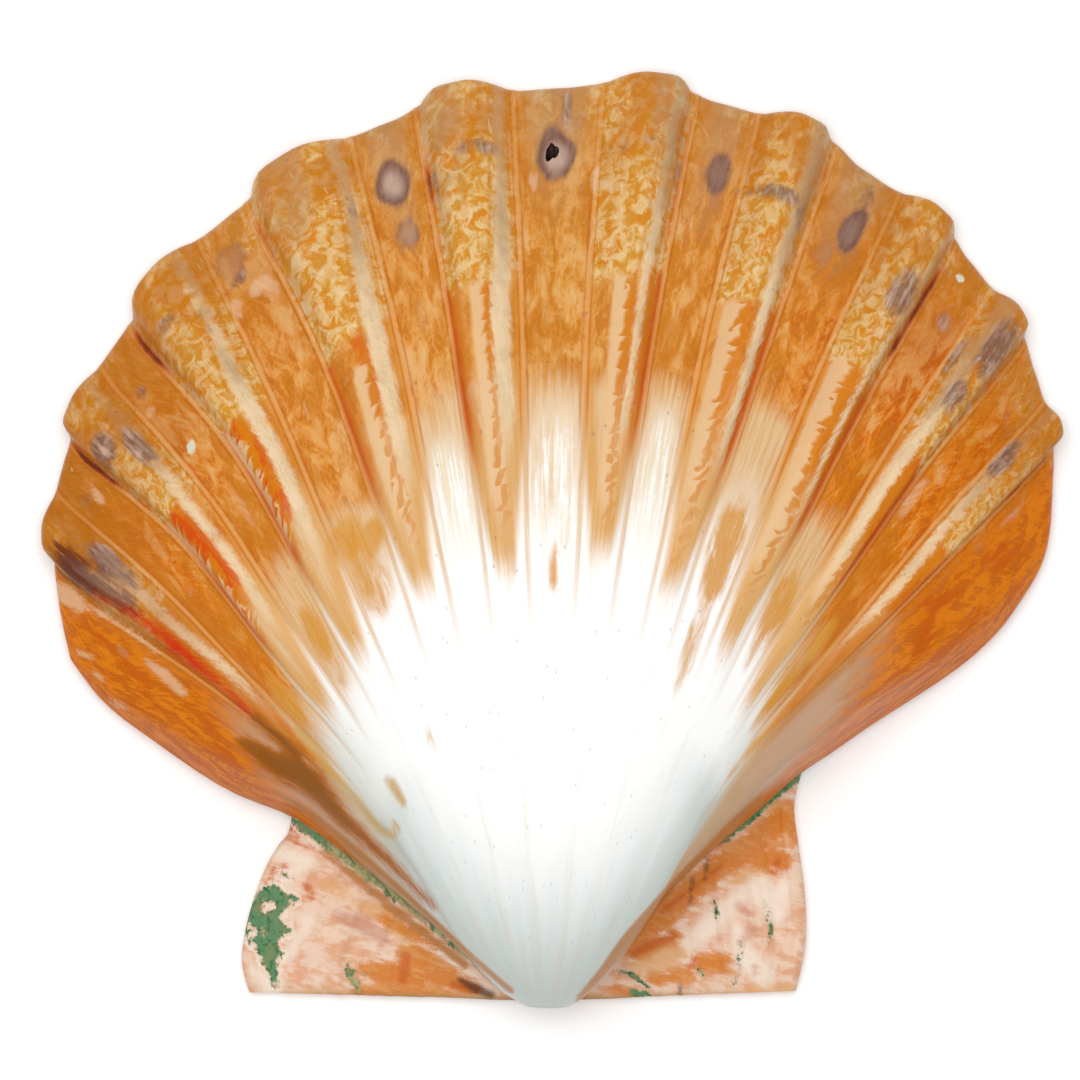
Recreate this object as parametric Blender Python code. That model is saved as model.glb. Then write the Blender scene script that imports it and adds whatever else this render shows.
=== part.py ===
"""Lion paw scallop shell: one polished valve lying on its margin, convex side up.

The valve is one grown sheet. A point on it is named by two numbers. q is its place round the
growing margin: -3 at the left end of the hinge, -2 at the left ear's notch, 0 to 10 across the
ribbed disc, 12 at the right ear's notch and 13 at the right end of the hinge. s is the growth
stage, 0 at the beak and 1 at the margin. Each growth line is the margin made smaller and swung up
about the hinge, so the outer face, the hollow face and the wall between them follow from the margin.

X runs along the hinge, +Y from the hinge to the far margin and +Z up, out of the convex side.
The origin is on the resting surface, under the middle of the footprint.
"""

import math

import bmesh
import bpy
import numpy as np
from mathutils import Vector

MM = 0.001

# Driving dimensions.
VALVE_WIDTH = 140 * MM
DOME_GAIN = 1.12
WHORL_RATE = 1.75
WALL = 2.6 * MM
EDGE_RISE = 2.2 * MM
RIBS = 10
RIB_HEIGHT = 2.8 * MM
INNER_RIB_HEIGHT = 2.2 * MM
LOBE = 1.2 * MM
HINGE_PLATE_DEPTH = 4.5 * MM
BEAK_PLATE_HALF = 7.0 * MM
PIT_HALF = 2.6 * MM
PIT_DEPTH = 1.3 * MM
HOLE_ACROSS = 2.0 * MM
HOLE_ALONG = 3.4 * MM
HOLE_PLACE = (5.04, 0.93)

# Margin of the ears and the plain sides, from the beak at (0, 0), in millimetres.
LEFT_EAR = [(-40.8, 1.0), (-41.8, 5.2), (-41.2, 10.0), (-39.8, 14.8), (-37.9, 19.3), (-35.6, 22.4), (-34.9, 25.3)]
LEFT_SIDE = [(-34.9, 25.3), (-44.2, 29.0), (-54.4, 35.8), (-60.6, 40.6), (-65.2, 46.4)]
RIGHT_SIDE = [(62.8, 50.2), (55.5, 43.7), (45.9, 38.2), (40.0, 34.6), (34.9, 31.2)]
RIGHT_EAR = [(34.9, 31.2), (33.9, 26.6), (34.4, 21.6), (35.1, 16.6), (35.5, 11.4), (35.3, 6.6), (34.1, 1.2)]

# Ribbed disc: place q, angle from the centre line in degrees, radius between the ribs in millimetres.
DISC = [
    (-1.0, -54.56, 80.0),
    (0.0, -47.9, 91.0),
    (1.0, -41.5, 99.4),
    (2.0, -31.8, 108.8),
    (3.0, -22.0, 115.8),
    (4.0, -10.6, 121.9),
    (5.0, 0.0, 124.6),
    (6.0, 11.4, 124.9),
    (7.0, 21.3, 121.4),
    (8.0, 30.2, 116.2),
    (9.0, 38.2, 108.4),
    (10.0, 45.0, 98.0),
    (11.0, 51.36, 80.4),
]

# How high each place stands in the swing of the dome, how far its growth path bows towards the
# middle, and how far it spreads beside the beak.
PLACE = [-3.0, -2.0, -1.5, -1.0, 0.0, 1.0, 2.0, 3.5, 5.0, 6.5, 8.0, 9.0, 10.0, 11.0, 11.5, 12.0, 13.0]
LIFT = [0.0, 0.09, 0.24, 0.38, 0.52, 0.64, 0.77, 0.92, 1.0, 0.95, 0.81, 0.70, 0.57, 0.42, 0.27, 0.10, 0.0]
BOW = [0.0, 0.0, 0.2, 0.24, 0.24, 0.18, 0.10, 0.06, 0.0, 0.06, 0.10, 0.17, 0.22, 0.24, 0.2, 0.10, 0.0]
SPREAD = [0.1, 0.40, 0.2, 0.1, 0.0, 0.0, 0.0, 0.0, 0.0, 0.0, 0.0, 0.0, 0.0, 0.1, 0.2, 0.35, 0.1]
SIDES = ((-2.0, -1.0, 0.5), (12.0, 11.0, 9.5))

# Grid: columns by run of places, and rows from beak to margin.
SEGMENTS = [(-3, -2, 9), (-2, -1, 8), (-1, 0, 5), (0, 10, 90), (10, 11, 5), (11, 12, 7), (12, 13, 8)]
ROWS = 17


def ramp(value, low, high):
    """0 below low, 1 above high, with a smooth rise between them."""
    x = np.clip((value - low) / (high - low), 0.0, 1.0)
    return x * x * (3.0 - 2.0 * x)


def curve(at, places, values):
    """A smooth curve through the given values."""
    places = np.asarray(places, float)
    values = np.asarray(values, float)
    slopes = np.gradient(values, places)
    i = np.clip(np.searchsorted(places, at, side="right") - 1, 0, len(places) - 2)
    step = places[i + 1] - places[i]
    x = np.clip((at - places[i]) / step, 0.0, 1.0)
    bend = (1 - x) ** 2 * slopes[i] * step * x - x ** 2 * slopes[i + 1] * step * (1 - x)
    return values[i] * (1 + 2 * x) * (1 - x) ** 2 + values[i + 1] * x * x * (3 - 2 * x) + bend


def along(points, x):
    """Plan position at 0 to 1 along a run of outline points."""
    places = np.linspace(0.0, 1.0, len(points))
    return [curve(x, places, [p[axis] for p in points]) for axis in (0, 1)]


def rib_swell(q):
    """0 between the ribs, 1 on them: a gentle side facing the middle and a steep outer side."""
    phase = q - np.floor(q)
    outward = np.where(q > RIBS / 2, phase, 1.0 - phase)
    swell = ramp(outward, 0.08, 0.50) * (1.0 - ramp(outward, 0.70, 0.93))
    return np.where((q > 0) & (q < RIBS), swell, 0.0)


def margin(q):
    """Plan position of the finished margin."""
    places = [d[0] for d in DISC]
    angle = np.radians(curve(q, places, [d[1] for d in DISC]))
    lobe = LOBE * rib_swell(q) * (1.0 - 0.9 * ((q - 5.0) / 5.0) ** 2)
    radius = curve(q, places, [d[2] for d in DISC]) * MM + lobe
    x, y = radius * np.sin(angle), radius * np.cos(angle)
    for run, low, high in ((LEFT_EAR, -3, -2), (LEFT_SIDE, -2, -1), (RIGHT_SIDE, 11, 12), (RIGHT_EAR, 12, 13)):
        here = (q >= low) & (q <= high)
        run_x, run_y = along(run, np.clip((q - low) / (high - low), 0.0, 1.0))
        x = np.where(here, run_x * MM, x)
        y = np.where(here, run_y * MM, y)
    return x, y


def swing_of(s):
    """How far a growth line has swung up about the hinge, held just past upright at the beak."""
    return np.log(1.0 / np.maximum(s, 0.05)) / WHORL_RATE


def growth_plan(q, s):
    """Plan position of a growth line, smaller and more steeply swung the older it is."""
    mx, my = margin(q)
    bow = curve(q, PLACE, BOW) * np.exp(-(((s - 0.38) / 0.26) ** 2))
    spread = curve(q, PLACE, SPREAD) * np.exp(-(((s - 0.12) / 0.08) ** 2))
    return mx * s * (1.0 - bow + spread), my * s * np.cos(swing_of(s))


def side_line(seam, shoulder, radius):
    """Angle of the foot of a steep side: the seam along the ear, then the margin beyond it."""
    s = np.linspace(0.02, 1.0, 60)
    seam_x, seam_y = growth_plan(np.full_like(s, seam), s)
    edge_x, edge_y = margin(np.linspace(seam, shoulder, 60)[1:])
    x, y = np.concatenate([seam_x, edge_x]), np.concatenate([seam_y, edge_y])
    return np.interp(radius, np.hypot(x, y), np.arctan2(x, y))


def shoulder_line(shoulder, radius):
    """Angle of the shoulder where a steep side turns into the ribbed disc."""
    s = np.linspace(0.02, 1.0, 60)
    x, y = growth_plan(np.full_like(s, shoulder), s)
    return np.interp(radius, np.hypot(x, y), np.arctan2(x, y))


def growth_sheet(q, s):
    """The plain sheet with no ribs: growth lines shrink and swing up about the hinge."""
    x, y = growth_plan(q, s)
    radius, angle = np.hypot(x, y), np.arctan2(x, y)
    for seam, corner, shoulder in SIDES:
        run = abs(shoulder - seam)
        out = np.clip((q - seam) / (corner - seam), 0.0, run)
        foot = side_line(seam, shoulder, radius)
        top = shoulder_line(shoulder, radius)
        wall = foot + (top - foot) * out / run * (1.0 - s ** 3)
        share = np.where(out > 0.0, 1.0 - ramp(out, 0.8, run), 0.0)
        angle = angle * (1.0 - share) + wall * share
    reach = DISC[6][2] * MM * DOME_GAIN
    z = EDGE_RISE + reach * s * np.sin(swing_of(s)) * curve(q, PLACE, LIFT)
    return np.stack([radius * np.sin(angle), radius * np.cos(angle), z], axis=-1)


def sheet_normal(q, s):
    """Unit normal of the plain sheet, pointing out of the convex side."""
    step = 1e-3
    s = np.clip(s, 0.02, 1.0 - step)
    q = np.clip(q, -3 + step, 13 - step)
    across = growth_sheet(q + step, s) - growth_sheet(q - step, s)
    outward = growth_sheet(q, s + step) - growth_sheet(q, s - step)
    normal = np.cross(across, outward)
    return normal / np.maximum(np.linalg.norm(normal, axis=-1, keepdims=True), 1e-12)


def outer_face(q, s):
    """Convex side: the plain sheet with ribs that rise towards the margin."""
    rise = RIB_HEIGHT * rib_swell(q) * ramp(s, 0.38, 0.96)
    return growth_sheet(q, s) + sheet_normal(q, s) * rise[..., None]


def hinge_fan(q, radius):
    """Angle of a column behind the hinge, where they fan out evenly between and beside the seams."""
    left = np.maximum(side_line(-2.0, 0.5, radius), math.radians(-80.0))
    right = np.minimum(side_line(12.0, 9.5, radius), math.radians(80.0))
    inside = np.clip((q + 2.0) / 14.0, 0.0, 1.0)
    fan = left * (1.0 - inside) + right * inside
    fan = np.where(q < -2.0, left - (left + math.pi / 2) * (-2.0 - q), fan)
    return np.where(q > 12.0, right + (math.pi / 2 - right) * (q - 12.0), fan)


def inner_face(q, s):
    """Hollow side: a wall's thickness in, with shallower ribs and a flat plate behind the hinge."""
    late = np.maximum(s, 0.6)
    normal = sum(sheet_normal(q + turn, late) for turn in (-0.6, -0.3, 0.0, 0.3, 0.6))
    normal = normal / np.linalg.norm(normal, axis=-1, keepdims=True)
    rise = INNER_RIB_HEIGHT * rib_swell(q) * ramp(s, 0.38, 0.96)
    depth = WALL * ramp(s, 0.0, 0.22)
    x, y, z = np.moveaxis(growth_sheet(q, s) + normal * (rise - depth)[..., None], -1, 0)
    z = z - np.maximum(EDGE_RISE - depth * normal[..., 2], 0.0) * s
    radius, angle = np.hypot(x, y), np.arctan2(x, y)
    plate_edge = BEAK_PLATE_HALF + (HINGE_PLATE_DEPTH - BEAK_PLATE_HALF) * np.sin(math.pi * (q + 3.0) / 16.0)
    begun = ramp(s, 0.10, 0.22)
    radius = radius * begun + s / 0.16 * plate_edge * (1.0 - begun)
    held = 1.0 - ramp(radius, 1.5 * HINGE_PLATE_DEPTH, 4.0 * HINGE_PLATE_DEPTH)
    angle = angle * (1.0 - held) + hinge_fan(q, radius) * held
    x, y = radius * np.sin(angle), radius * np.cos(angle)
    ear = ramp(np.abs(q - 5.0), 7.0, 7.4)
    over_ear = ramp(y, HINGE_PLATE_DEPTH, 2.2 * HINGE_PLATE_DEPTH)
    over_disc = ramp(radius, 1.2 * HINGE_PLATE_DEPTH, 3.5 * HINGE_PLATE_DEPTH)
    over_plate = ramp(y, 0.9 * HINGE_PLATE_DEPTH, 1.4 * HINGE_PLATE_DEPTH)
    z = np.maximum(z * (ear * over_ear + (1.0 - ear) * over_disc) * over_plate, 0.0)
    pit = PIT_DEPTH * ramp(y, 0.1 * PIT_HALF, 0.6 * PIT_HALF)
    pit = pit * (1.0 - ramp(np.abs(x), 0.3 * PIT_HALF, PIT_HALF)) * (1.0 - ramp(s, 0.9, 1.0))
    return np.stack([x, y, np.maximum(z, pit)], axis=-1)


def column_places():
    """Places q of the grid's columns, from the left end of the hinge to the right."""
    runs = [np.linspace(low, high, count, endpoint=False) for low, high, count in SEGMENTS]
    return np.concatenate(runs + [np.array([13.0])])


def row_stages():
    """Growth stages of the grid's rows, closer together near the beak."""
    return np.concatenate([[0.0, 0.05], np.linspace(0.05, 1.0, ROWS)[1:] ** 1.15])


def shaped_grid(bm, face_shape):
    """A primitive grid with its rows laid along growth lines and the beak's row drawn to a point."""
    places, stages = column_places(), row_stages()
    across, down = len(places) - 1, len(stages) - 1
    verts = bmesh.ops.create_grid(bm, x_segments=across, y_segments=down, size=1.0)["verts"]
    column = np.array([round((v.co.x + 1.0) / 2.0 * across) for v in verts])
    row = np.array([round((v.co.y + 1.0) / 2.0 * down) for v in verts])
    for vert, point in zip(verts, face_shape(places[column], stages[row])):
        vert.co = point
    beak = [vert for vert, r in zip(verts, row) if r == 0]
    bmesh.ops.pointmerge(bm, verts=beak, merge_co=beak[0].co)


def sized(points):
    """Scale that brings the valve to its width, and the shift that puts the origin under its middle."""
    low, high = points.min(axis=0), points.max(axis=0)
    scale = VALVE_WIDTH / (high[0] - low[0])
    middle = (low + high) / 2.0
    return scale, Vector((middle[0], middle[1], low[2])) * -scale


def grown_mesh():
    """Outer and hollow faces, joined all round the margin and along the hinge."""
    bm = bmesh.new()
    shaped_grid(bm, outer_face)
    outside = set(bm.faces)
    shaped_grid(bm, inner_face)
    bmesh.ops.reverse_faces(bm, faces=[f for f in bm.faces if f not in outside])
    bmesh.ops.bridge_loops(bm, edges=[e for e in bm.edges if e.is_boundary])
    scale, shift = sized(np.array([v.co for v in bm.verts]))
    bmesh.ops.scale(bm, vec=(scale, scale, scale), verts=bm.verts)
    bmesh.ops.translate(bm, vec=shift, verts=bm.verts)
    bmesh.ops.triangulate(bm, faces=bm.faces, quad_method="SHORT_EDGE")
    bmesh.ops.recalc_face_normals(bm, faces=bm.faces)
    mesh = bpy.data.meshes.new("shell_valve")
    bm.to_mesh(mesh)
    bm.free()
    return mesh, scale, shift


def shell_material():
    """Polished shell, orange overall."""
    material = bpy.data.materials.new("polished_shell")
    material.use_nodes = True
    shader = material.node_tree.nodes["Principled BSDF"]
    shader.inputs["Base Color"].default_value = (0.70, 0.27, 0.07, 1.0)
    shader.inputs["Roughness"].default_value = 0.3
    shader.inputs["Metallic"].default_value = 0.0
    return material


def new_collection(name):
    collection = bpy.data.collections.new(name)
    bpy.context.scene.collection.children.link(collection)
    return collection


def hole_cutter(collection, scale, shift):
    """Oval drill that pierces the middle valley near the margin, square to the wall."""
    place, stage = np.array([HOLE_PLACE[0]]), np.array([HOLE_PLACE[1]])
    centre = Vector(outer_face(place, stage)[0]) * scale + shift
    outward = Vector(sheet_normal(place, stage)[0])
    bpy.ops.mesh.primitive_cylinder_add(vertices=14, radius=HOLE_ACROSS / 2, depth=5 * WALL, location=centre)
    cutter = bpy.context.object
    cutter.name = "hole_cutter"
    cutter.scale.y = HOLE_ALONG / HOLE_ACROSS
    cutter.rotation_euler = (-math.atan2(outward.y, outward.z), 0.0, 0.0)
    cutter.hide_render = True
    cutter.display_type = "WIRE"
    for holder in list(cutter.users_collection):
        holder.objects.unlink(cutter)
    collection.objects.link(cutter)
    return cutter


def build():
    for old in list(bpy.data.objects):
        bpy.data.objects.remove(old, do_unlink=True)
    shell = new_collection("lion_paw_scallop_shell")
    cutters = new_collection("cutters")
    mesh, scale, shift = grown_mesh()
    valve = bpy.data.objects.new("shell_valve", mesh)
    shell.objects.link(valve)
    mesh.materials.append(shell_material())
    hole = valve.modifiers.new("borer_hole", "BOOLEAN")
    hole.object = hole_cutter(cutters, scale, shift)
    hole.operation = "DIFFERENCE"
    hole.solver = "EXACT"
    mesh.shade_smooth()
    mesh.set_sharp_from_angle(angle=math.radians(50))


build()
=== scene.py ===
"""Looks of the lion paw scallop shell: one polished valve with its orange skin ground away to
white over the dome, orange and cream ribs, ringed scars, green crusts on the ears and a porcelain
hollow.

The valve is built as in the CAD: a point is named by its place q round the margin and its growth
stage s, 0 at the beak and 1 at the margin. Here the columns of the grid also follow the thin cords
that border each rib, so a column keeps one home place on the pattern (a rib spans a quarter to
three quarters, a valley the rest) while it wanders a little in q as the shell grew.
Lengths are in metres unless a name ends in _mm.
"""

import math

import bpy
import numpy as np
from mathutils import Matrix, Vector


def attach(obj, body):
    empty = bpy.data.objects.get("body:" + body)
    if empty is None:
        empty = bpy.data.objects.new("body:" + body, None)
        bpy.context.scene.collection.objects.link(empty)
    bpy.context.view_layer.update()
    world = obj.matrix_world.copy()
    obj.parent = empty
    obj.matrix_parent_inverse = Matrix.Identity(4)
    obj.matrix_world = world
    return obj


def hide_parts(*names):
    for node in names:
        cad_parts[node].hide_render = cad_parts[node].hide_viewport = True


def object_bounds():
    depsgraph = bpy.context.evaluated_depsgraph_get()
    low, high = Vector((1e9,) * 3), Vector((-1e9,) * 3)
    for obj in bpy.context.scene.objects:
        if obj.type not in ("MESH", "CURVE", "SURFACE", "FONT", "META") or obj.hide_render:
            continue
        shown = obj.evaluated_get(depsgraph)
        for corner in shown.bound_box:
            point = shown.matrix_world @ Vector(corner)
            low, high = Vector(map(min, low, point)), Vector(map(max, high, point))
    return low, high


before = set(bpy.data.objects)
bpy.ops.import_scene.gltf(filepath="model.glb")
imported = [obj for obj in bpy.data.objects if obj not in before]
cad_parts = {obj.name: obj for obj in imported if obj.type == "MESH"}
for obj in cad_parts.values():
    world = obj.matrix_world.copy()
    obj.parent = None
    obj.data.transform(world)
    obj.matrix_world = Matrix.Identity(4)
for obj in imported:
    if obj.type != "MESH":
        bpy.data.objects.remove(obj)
cad_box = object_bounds()

MM = 0.001

# ---------------------------------------------------------------- shape, as in the CAD
# The one difference: the lower right corner is up to 1 mm rounder here.

DOME_GAIN = 1.12
WHORL_RATE = 1.75
WALL = 2.6 * MM
LEAST_WALL = 0.25 * MM
EDGE_RISE = 2.2 * MM
RIBS = 10
RIB_HEIGHT = 2.8 * MM
INNER_RIB_HEIGHT = 2.2 * MM
LOBE = 1.2 * MM
LOBE_FADE = 0.9
HINGE_PLATE_DEPTH = 4.5 * MM
BEAK_PLATE_HALF = 7.0 * MM
PIT_HALF = 2.6 * MM
PIT_DEPTH = 1.3 * MM
REACH_MM = 125.0

# Margin of the ears and the plain sides, from the beak at (0, 0), in millimetres.
LEFT_EAR = [
    (-40.8, 1.0), (-41.8, 5.2), (-41.2, 10.0), (-39.8, 14.8), (-37.9, 19.3), (-35.6, 22.4), (-34.9, 25.3),
]
LEFT_SIDE = [(-34.9, 25.3), (-44.2, 29.0), (-54.4, 35.8), (-60.6, 40.6), (-65.2, 46.4)]
RIGHT_SIDE = [
    (62.6, 51.2), (58.7, 47.3), (53.9, 43.7), (48.3, 40.1), (43.2, 36.8), (38.8, 33.7), (34.9, 31.2),
]
RIGHT_EAR = [
    (34.9, 31.2), (33.9, 26.6), (34.4, 21.6), (35.1, 16.6), (35.5, 11.4), (35.3, 6.6), (34.1, 1.2),
]

# Ribbed disc: place q, angle from the centre line in degrees, radius between the ribs in millimetres.
DISC = [
    (-1.0, -54.56, 80.0),
    (0.0, -47.9, 91.0),
    (1.0, -41.5, 99.4),
    (2.0, -31.8, 108.8),
    (3.0, -22.0, 115.8),
    (4.0, -10.6, 121.9),
    (5.0, 0.0, 124.6),
    (6.0, 11.4, 124.9),
    (7.0, 21.3, 121.4),
    (8.0, 30.2, 116.2),
    (9.0, 38.2, 108.4),
    (10.0, 45.0, 98.0),
    (10.5, 48.6, 90.6),
    (11.0, 50.72, 80.87),
]
MIDDLE_REACH_MM = DISC[6][2]

# How high each place stands in the swing of the dome, how far its growth path bows towards the
# middle, and how far it spreads beside the beak.
PLACE = [-3.0, -2.0, -1.5, -1.0, 0.0, 1.0, 2.0, 3.5, 5.0, 6.5, 8.0, 9.0, 10.0, 11.0, 11.5, 12.0, 13.0]
LIFT = [0.0, 0.09, 0.24, 0.38, 0.52, 0.64, 0.77, 0.92, 1.0, 0.95, 0.81, 0.70, 0.57, 0.42, 0.27, 0.10, 0.0]
BOW = [0.0, 0.0, 0.2, 0.24, 0.24, 0.18, 0.10, 0.06, 0.0, 0.06, 0.10, 0.17, 0.22, 0.24, 0.2, 0.10, 0.0]
SPREAD = [0.1, 0.40, 0.2, 0.1, 0.0, 0.0, 0.0, 0.0, 0.0, 0.0, 0.0, 0.0, 0.0, 0.1, 0.2, 0.35, 0.1]

# The two steep sides: seam along the ear, corner of the margin, and shoulder on the ribbed disc.
LEFT_STEEP, RIGHT_STEEP = (-2.0, -1.0, 0.5), (12.0, 11.0, 9.5)
FAN_LIMIT = math.radians(80.0)


def ramp(value, low, high):
    """0 below low, 1 above high, with a smooth rise between them."""
    x = np.clip((value - low) / (high - low), 0.0, 1.0)
    return x * x * (3.0 - 2.0 * x)


def bump(value, centre, half):
    """1 at centre, falling smoothly to nothing a little beyond half."""
    return np.exp(-(((value - centre) / half) ** 2))


def curve(at, places, values):
    """A smooth curve through the given values."""
    places = np.asarray(places, float)
    values = np.asarray(values, float)
    slopes = np.gradient(values, places)
    i = np.clip(np.searchsorted(places, at, side="right") - 1, 0, len(places) - 2)
    step = places[i + 1] - places[i]
    x = np.clip((at - places[i]) / step, 0.0, 1.0)
    bend = (1 - x) ** 2 * slopes[i] * step * x - x ** 2 * slopes[i + 1] * step * (1 - x)
    return values[i] * (1 + 2 * x) * (1 - x) ** 2 + values[i + 1] * x * x * (3 - 2 * x) + bend


def along(points, x):
    """Plan position at 0 to 1 along a run of outline points."""
    places = np.linspace(0.0, 1.0, len(points))
    return [curve(x, places, [p[axis] for p in points]) for axis in (0, 1)]


def rib_swell(q):
    """0 between the ribs, 1 on them: a gentle side facing the middle and a steep outer side."""
    phase = q - np.floor(q)
    outward = np.where(q > RIBS / 2, phase, 1.0 - phase)
    swell = ramp(outward, 0.08, 0.50) * (1.0 - ramp(outward, 0.70, 0.93))
    return np.where((q > 0) & (q < RIBS), swell, 0.0)


def margin(q):
    """Plan position of the finished margin."""
    places = [d[0] for d in DISC]
    angle = np.radians(curve(q, places, [d[1] for d in DISC]))
    lobe = LOBE * rib_swell(q) * (1.0 - LOBE_FADE * ((q - 5.0) / 5.0) ** 2)
    radius = curve(q, places, [d[2] for d in DISC]) * MM + lobe
    x, y = radius * np.sin(angle), radius * np.cos(angle)
    for run, low in ((LEFT_EAR, -3), (LEFT_SIDE, -2), (RIGHT_SIDE, 11), (RIGHT_EAR, 12)):
        here = (q >= low) & (q <= low + 1)
        run_x, run_y = along(run, np.clip(q - low, 0.0, 1.0))
        x = np.where(here, run_x * MM, x)
        y = np.where(here, run_y * MM, y)
    return x, y


def swing_of(s):
    """How far a growth line has swung up about the hinge, held just past upright at the beak."""
    return np.log(1.0 / np.maximum(s, 0.05)) / WHORL_RATE


def growth_plan(q, s):
    """Plan position of a growth line, smaller and more steeply swung the older it is."""
    mx, my = margin(q)
    bow = curve(q, PLACE, BOW) * np.exp(-(((s - 0.38) / 0.26) ** 2))
    spread = curve(q, PLACE, SPREAD) * np.exp(-(((s - 0.12) / 0.08) ** 2))
    return mx * s * (1.0 - bow + spread), my * s * np.cos(swing_of(s))


def path_angle(q, radius, past=()):
    """Angle of the growth path of one place, and of the margin's places past its end."""
    s = np.linspace(0.02, 1.0, 60)
    x, y = growth_plan(np.full_like(s, q), s)
    edge_x, edge_y = margin(np.asarray(past, float))
    x, y = np.concatenate([x, edge_x]), np.concatenate([y, edge_y])
    return np.interp(radius, np.hypot(x, y), np.arctan2(x, y))


def foot_angle(side, radius):
    """Angle of the foot of a steep side: the seam along the ear, then the margin beyond it."""
    seam, _, shoulder = side
    return path_angle(seam, radius, np.linspace(seam, shoulder, 60)[1:])


def growth_sheet(q, s):
    """The plain sheet with no ribs: growth lines shrink and swing up about the hinge."""
    x, y = growth_plan(q, s)
    radius, angle = np.hypot(x, y), np.arctan2(x, y)
    for side in (LEFT_STEEP, RIGHT_STEEP):
        seam, corner, shoulder = side
        run = abs(shoulder - seam)
        out = np.clip((q - seam) / (corner - seam), 0.0, run)
        foot = foot_angle(side, radius)
        top = path_angle(shoulder, radius)
        wall = foot + (top - foot) * out / run * (1.0 - s ** 3)
        share = np.where(out > 0.0, 1.0 - ramp(out, 0.8, run), 0.0)
        angle = angle * (1.0 - share) + wall * share
    dome = MIDDLE_REACH_MM * MM * DOME_GAIN
    z = EDGE_RISE + dome * s * np.sin(swing_of(s)) * curve(q, PLACE, LIFT)
    return np.stack([radius * np.sin(angle), radius * np.cos(angle), z], axis=-1)


def sheet_normal(q, s):
    """Unit normal of the plain sheet, pointing out of the convex side."""
    step = 1e-3
    s = np.clip(s, 0.02, 1.0 - step)
    q = np.clip(q, -3 + step, 13 - step)
    across = growth_sheet(q + step, s) - growth_sheet(q - step, s)
    outward = growth_sheet(q, s + step) - growth_sheet(q, s - step)
    normal = np.cross(across, outward)
    return normal / np.maximum(np.linalg.norm(normal, axis=-1, keepdims=True), 1e-12)


def hinge_fan(q, radius):
    """Angle of a column behind the hinge, where they fan out evenly between and beside the seams."""
    left = np.maximum(foot_angle(LEFT_STEEP, radius), -FAN_LIMIT)
    right = np.minimum(foot_angle(RIGHT_STEEP, radius), FAN_LIMIT)
    inside = np.clip((q + 2.0) / 14.0, 0.0, 1.0)
    fan = left * (1.0 - inside) + right * inside
    fan = np.where(q < -2.0, left - (left + math.pi / 2) * (-2.0 - q), fan)
    return np.where(q > 12.0, right + (math.pi / 2 - right) * (q - 12.0), fan)


# ---------------------------------------------------------------- columns that follow the cords

# Place of each thin cord at three growth stages, from the left flank to the right. Cords stand at
# home places 0.25, 0.75, 1.25 and so on: a rib lies between a quarter and three quarters.
CORD_STAGES = (0.56, 0.75, 0.97)
CORDS = [
    (0.10, 0.08, -0.12),
    (0.60, 0.80, 0.64),
    (1.20, 1.33, 1.10),
    (1.75, 1.82, 1.66),
    (2.20, 2.24, 1.99),
    (2.73, 2.78, 2.74),
    (3.30, 3.27, 3.12),
    (3.80, 3.83, 3.80),
    (4.27, 4.24, 4.20),
    (4.79, 4.81, 4.80),
    (5.32, 5.29, 5.31),
    (5.76, 5.78, 5.82),
    (6.20, 6.17, 6.20),
    (6.67, 6.70, 6.73),
    (7.25, 7.19, 7.25),
    (7.78, 7.73, 7.80),
    (8.24, 8.16, 8.22),
    (8.72, 8.61, 8.72),
    (9.28, 9.12, 9.22),
    (9.62, 9.60, 9.66),
]
CORD_HOMES = np.concatenate([[-1.0], 0.25 + 0.5 * np.arange(2 * RIBS), [11.0]])

# Columns by run of home places, and the rows of growth stages.
BAND_COLUMNS = 17
MIDDLE_COLUMNS = 26
FLANK_RUNS = [(-3.0, -2.0, 24), (-2.0, -1.0, 14), (-1.0, 0.25, 20)]
FAR_RUNS = [(9.75, 11.0, 20), (11.0, 12.0, 12), (12.0, 13.0, 22)]
ROW_RUNS = [(0.008, 0.05, 5), (0.05, 0.50, 34), (0.50, 0.905, 40), (0.905, 0.955, 9), (0.955, 0.99, 5)]
LIP_STAGES = [0.99, 0.9935, 0.9965, 0.9985, 1.0]
LIP_ROUND_MM = 0.9
UNDER_ROUND_MM = 0.35

# The borer's hole on each face: home place and stage of its middle, and its half sizes in
# millimetres. It takes the place of a block of faces, and pulls the columns round it aside. Its
# ragged edge is a sum of waves, each with its times round, size and start.
HOLE, HOLE_HALF_MM = (4.975, 0.9305), (0.8, 1.2)
HOLE_INSIDE, HOLE_INSIDE_HALF_MM = (4.975, 0.9065), (1.0, 1.3)
HOLE_WAVES = ((2, 0.20, 0.7), (3, 0.16, 2.2), (5, 0.08, 0.0))
HOLE_BLOCK = (3, 3)
HOLE_SPREAD = 3.2
HOLE_PITCH_MM = 22.5
GRIT_PER_METRE = 2500.0
HOLE_REACH = 6.5 * MM


def wandering(home, s):
    """Place q of a column at home on the pattern, where it has got to by growth stage s."""
    stage = np.clip(s, CORD_STAGES[0], CORD_STAGES[-1])
    cords = [curve(stage, CORD_STAGES, cord) for cord in CORDS]
    ends = np.stack([np.full_like(s, -1.0), *cords, np.full_like(s, 11.0)])
    i = np.clip(np.searchsorted(CORD_HOMES, home, side="right") - 1, 0, len(CORD_HOMES) - 2)
    x = (home - CORD_HOMES[i]) / (CORD_HOMES[i + 1] - CORD_HOMES[i])
    low = np.take_along_axis(ends, i[None], axis=0)[0]
    high = np.take_along_axis(ends, i[None] + 1, axis=0)[0]
    return np.where((home > -1.0) & (home < 11.0), low + (high - low) * x, home)


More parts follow.
